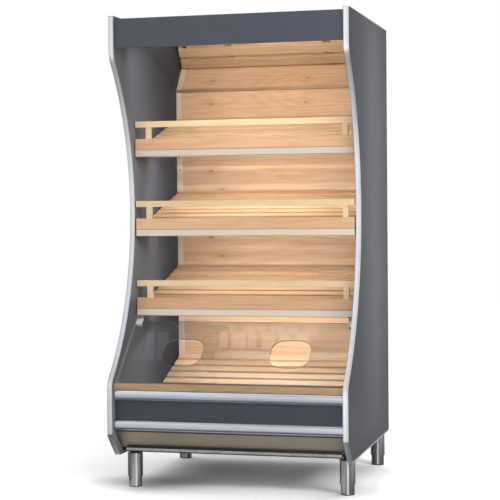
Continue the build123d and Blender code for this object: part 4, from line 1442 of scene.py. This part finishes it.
@dataclass
class Shelf(Part):
    """One shelf: slats on bearers, front board with its price strip, rail and lamp."""

    number: int
    watts: tuple[float, float, float] = (5.1, 2.6, 3.4)
    aim_drop: tuple[float, float, float] = (0.42, 0.24, 0.24)
    aim_back: float = 0.55
    lamp_short: float = 0.16
    lamp_below: float = 0.012
    lamp_wide: float = 0.03
    lip_radius: float = 0.0015
    lip_short: float = 0.0005

    def build(self) -> None:
        """Adds the two rounded lips between which the label slides in the price strip."""
        low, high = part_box(f"shelf_{self.number}_price_strip")
        r = self.lip_radius
        shape = bmesh.new()
        for z in (high.z - 2 * r, low.z):
            outline = rounded_frame(low.y - r, low.y + r, z, z + 2 * r, r * 0.95, 3)
            draw_out(shape, outline, Run.ALONG_X, low.x + self.lip_short, high.x - self.lip_short)
        body = Body[f"SHELF_{self.number}"]
        # The lips take the darker strip_lip finish, a painted shade line along the strip.
        self.maker.piece(f"shelf_{self.number}_strip_lips", body, self.maker.finishes.strip_lip, shape)

    def looks(self) -> dict[str, Finish]:
        """Returns the finish of each of its nodes."""
        finishes, number = self.maker.finishes, self.number
        ends: dict[str, Finish] = {
            "slats": finishes.shelf_slats[number], "front_board": finishes.boards[number],
            "rail": finishes.rails[number], "price_strip": finishes.strips[number], "bearers": finishes.beech,
            "arms": finishes.upright, "lamp": finishes.channel, "lamp_cover": finishes.glow,
        }
        return {f"shelf_{number}_{end}": finish for end, finish in ends.items()}

    def lamps(self) -> tuple[Lamp, ...]:
        """Returns the light of the shelf's lamp."""
        low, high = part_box(f"shelf_{self.number}_lamp_cover")
        y = ((low + high) / 2).y
        towards = (0.0, y + self.aim_back, low.z - self.aim_drop[self.number - 1])
        size = (high.x - low.x - self.lamp_short, self.lamp_wide)
        at = (0.0, y, low.z - self.lamp_below)
        return (Lamp(f"shelf_{self.number}_light", at, towards, size, self.watts[self.number - 1], "f2f4ff"),)


@dataclass
class Bin(Part):
    """The bread bin: slatted deck, lip and the clear pane with its clips and hinges."""

    pane_lean: float = 48.0
    clip_thick: float = 0.016
    clip_screw_in: float = 0.013
    clip_screw_down: float = 0.024
    hinge_axis_drop: float = 0.019
    hinge_screws_x: Flat = (-0.4715, -0.4835)
    hinge_screw_drop: float = 0.008
    hinge_screw_in: float = 0.005

    def build(self) -> None:
        """Adds the screws of the hinges, and those of the clips, which ride with the pane."""
        low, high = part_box("pane_hinges")
        clip_low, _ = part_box("pane_clips")
        inner = clip_low.x + self.clip_screw_in
        axis = Vector((0.0, (low.y + high.y) / 2, high.z - self.hinge_axis_drop))
        lean = math.radians(self.pane_lean)
        down = Vector((0.0, -math.sin(lean), -math.cos(lean)))
        behind = Vector((0.0, math.cos(lean), -math.sin(lean)))
        at = axis + down * self.clip_screw_down + behind * (self.clip_thick / 2)
        hinge_shape, clip_shape = bmesh.new(), bmesh.new()
        for side in (-1.0, 1.0):
            for x in self.hinge_screws_x:
                seat = (side * x, high.y - self.hinge_screw_in, high.z - self.hinge_screw_drop)
                screw(hinge_shape, seat, DOWN, *SMALL_SCREW)
            screw(clip_shape, (side * inner, at.y, at.z), tuple(behind), *SMALL_SCREW)
        self.maker.piece("hinge_screws", Body.CABINET, self.maker.finishes.under, hinge_shape)
        self.maker.piece("clip_screws", Body.PANE, self.maker.finishes.under, clip_shape)

    def looks(self) -> dict[str, Finish]:
        """Returns the finish of each of its nodes."""
        finishes = self.maker.finishes
        return {
            "deck_slats": finishes.deck, "deck_bearers": finishes.beech, "bin_lining": finishes.beech,
            "bin_lip": finishes.lip, "pane": finishes.pane, "pane_clips": finishes.white,
            "pane_hinges": finishes.hinge,
        }


@dataclass
class LowerFront(Part):
    """The dark lower panel with its two bumpers, and the kick plate."""

    gasket_wide: float = 0.0022
    gasket_proud: float = 0.0005
    bumper_round: float = 0.014

    def build(self) -> None:
        """Adds a black gasket at each end of the bumpers."""
        shape = bmesh.new()
        for name in self.maker.finishes.bumpers:
            low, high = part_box(name)
            outline = self.bumper_outline(low, high)
            draw_out(shape, outline, Run.ALONG_X, low.x, low.x + self.gasket_wide)
            draw_out(shape, outline, Run.ALONG_X, high.x - self.gasket_wide, high.x)
        self.maker.piece("bumper_gaskets", Body.CABINET, self.maker.finishes.black, shape)

    def bumper_outline(self, low: Vector, high: Vector) -> list[Flat]:
        """Draws the bumper's rounded section, a little larger.

        Args:
            low: The bumper's lowest corner.
            high: Its highest corner.

        Returns:
            The points of the outline, as (y, z).
        """
        proud, bend = self.gasket_proud, self.bumper_round
        points = [(high.y, low.z - proud), (high.y, high.z + proud)]
        for middle, start in ((high.z - bend, 90.0), (low.z + bend, 180.0)):
            points += quarter(low.y + bend, middle, bend + proud, start, 8)
        return points

    def looks(self) -> dict[str, Finish]:
        """Returns the finish of each of its nodes."""
        finishes = self.maker.finishes
        return {"front_panel": finishes.front, **finishes.bumpers, "kick_plate": finishes.plate}


@dataclass
class Base(Part):
    """The base frame, its blocks, legs and levelling feet, with the inlet at the rear."""

    # Two black strips of painted shade: one in the gap between the kick plate and the front rail, one along the rail's
    # lower edge.
    gap_shade_thick: float = 0.0012
    gap_shade_low: float = 0.187
    gap_shade_high: float = 0.193
    gap_shade_half: float = 0.470
    gap_shade_round: float = 0.0004
    rail_shade_thick: float = 0.0008
    rail_shade_deep: float = 0.003
    rail_shade_drop: float = 0.0006
    rail_shade_high: float = 0.0042
    rail_shade_round: float = 0.0003
    pad_radius: float = 0.0291
    pad_points: int = 48
    blade_size: Flat = (0.002, 0.0045)
    blade_round: float = 0.0005
    blade_start: float = 0.002
    blade_short: float = 0.001
    inlet_screw_in: float = 0.006
    inlet_screw_seat: float = 0.003
    blades: tuple[Flat, ...] = ((-0.007, -0.0015), (0.007, -0.0015), (0.0, 0.0025))

    def build(self) -> None:
        """Adds the black strips of painted shade at the front rail, the rings of the feet, and the inlet's blades and
        screws.
        """
        self.line_front()
        for body in FEET:
            self.ring_foot(body)
        self.fit_inlet()

    def line_front(self) -> None:
        """Lays a black strip in the gap between the kick plate and the front rail, and another along the rail's foot:
        both are painted shade, darkening the gap and the rail's lower edge.
        """
        black = self.maker.finishes.black
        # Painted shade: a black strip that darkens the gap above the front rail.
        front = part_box("base_floor")[0].y
        outline = rounded_frame(front - self.gap_shade_thick, front, self.gap_shade_low, self.gap_shade_high, self.gap_shade_round, 2)
        shape = bmesh.new()
        draw_out(shape, outline, Run.ALONG_X, -self.gap_shade_half, self.gap_shade_half)
        self.maker.piece("front_gap_shade", Body.CABINET, black, shape)
        # Painted shade: a black strip along the rail's lower edge.
        low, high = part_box("base_front_rail")
        outline = rounded_frame(
            low.y - self.rail_shade_thick, low.y + self.rail_shade_deep, low.z - self.rail_shade_drop, low.z + self.rail_shade_high,
            self.rail_shade_round, 2)
        shape = bmesh.new()
        draw_out(shape, outline, Run.ALONG_X, low.x, high.x)
        self.maker.piece("front_rail_shade_strip", Body.CABINET, black, shape)

    def ring_foot(self, body: Body) -> None:
        """Puts a rubber ring round the lower edge of a foot.

        Args:
            body: The foot's body.
        """
        low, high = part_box(body.value)
        middle = (low + high) / 2
        r = self.pad_radius
        profile = ((r - 0.0025, 0.0001), (r - 0.0006, 0.0006), (r, 0.0016), (r, 0.0036), (r - 0.0005, 0.0042))
        shape = bmesh.new()
        lathe(shape, profile, Matrix.Translation((middle.x, middle.y, low.z)), self.pad_points)
        self.maker.piece(f"{body.value}_pad", body, self.maker.finishes.black, shape)

    def fit_inlet(self) -> None:
        """Adds the three blades within the inlet and the screws of its plate."""
        low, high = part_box("power_inlet")
        middle = (low + high) / 2
        half_x, half_z = (size / 2 for size in self.blade_size)
        shape = bmesh.new()
        for x, z in self.blades:
            x, z = middle.x + x, middle.z + z
            outline = rounded_frame(x - half_x, x + half_x, z - half_z, z + half_z, self.blade_round, 2)
            draw_out(shape, outline, Run.ALONG_Y, low.y + self.blade_start, high.y - self.blade_short)
        self.maker.piece("inlet_blades", Body.CABINET, self.maker.finishes.plate, shape)
        shape = bmesh.new()
        for x in (low.x + self.inlet_screw_in, high.x - self.inlet_screw_in):
            screw(shape, (x, low.y + self.inlet_screw_seat, middle.z), TO_REAR, *SMALL_SCREW)
        self.maker.piece("inlet_screws", Body.CABINET, self.maker.finishes.under, shape)

    def looks(self) -> dict[str, Finish]:
        """Returns the finish of each of its nodes."""
        finishes = self.maker.finishes
        return {
            "base_floor": finishes.under, "base_frame_rails": finishes.under, "base_front_rail": finishes.front_rail,
            "leg_tubes": finishes.tube, "leg_blocks": finishes.black, "power_inlet": finishes.black,
            **{body.value: finishes.tube for body in FEET},
        }


def main() -> None:
    """Builds the rack's looks in order and reports each piece."""
    logging.basicConfig(level=logging.INFO, format="%(name)s: %(message)s")
    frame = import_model()
    maker = Maker(frame["nodes"], Finishes())
    studio = Studio()
    studio.build()
    shelves = [Shelf(maker, number) for number in SHELVES]
    for part in (Carcass(maker), Canopy(maker), *shelves, Bin(maker), LowerFront(maker), Base(maker)):
        part.build()
        for name, finish in part.looks().items():
            maker.dress(name, finish)
        for lamp in part.lamps():
            studio.hang(lamp)


if __name__ == "__main__":
    main()
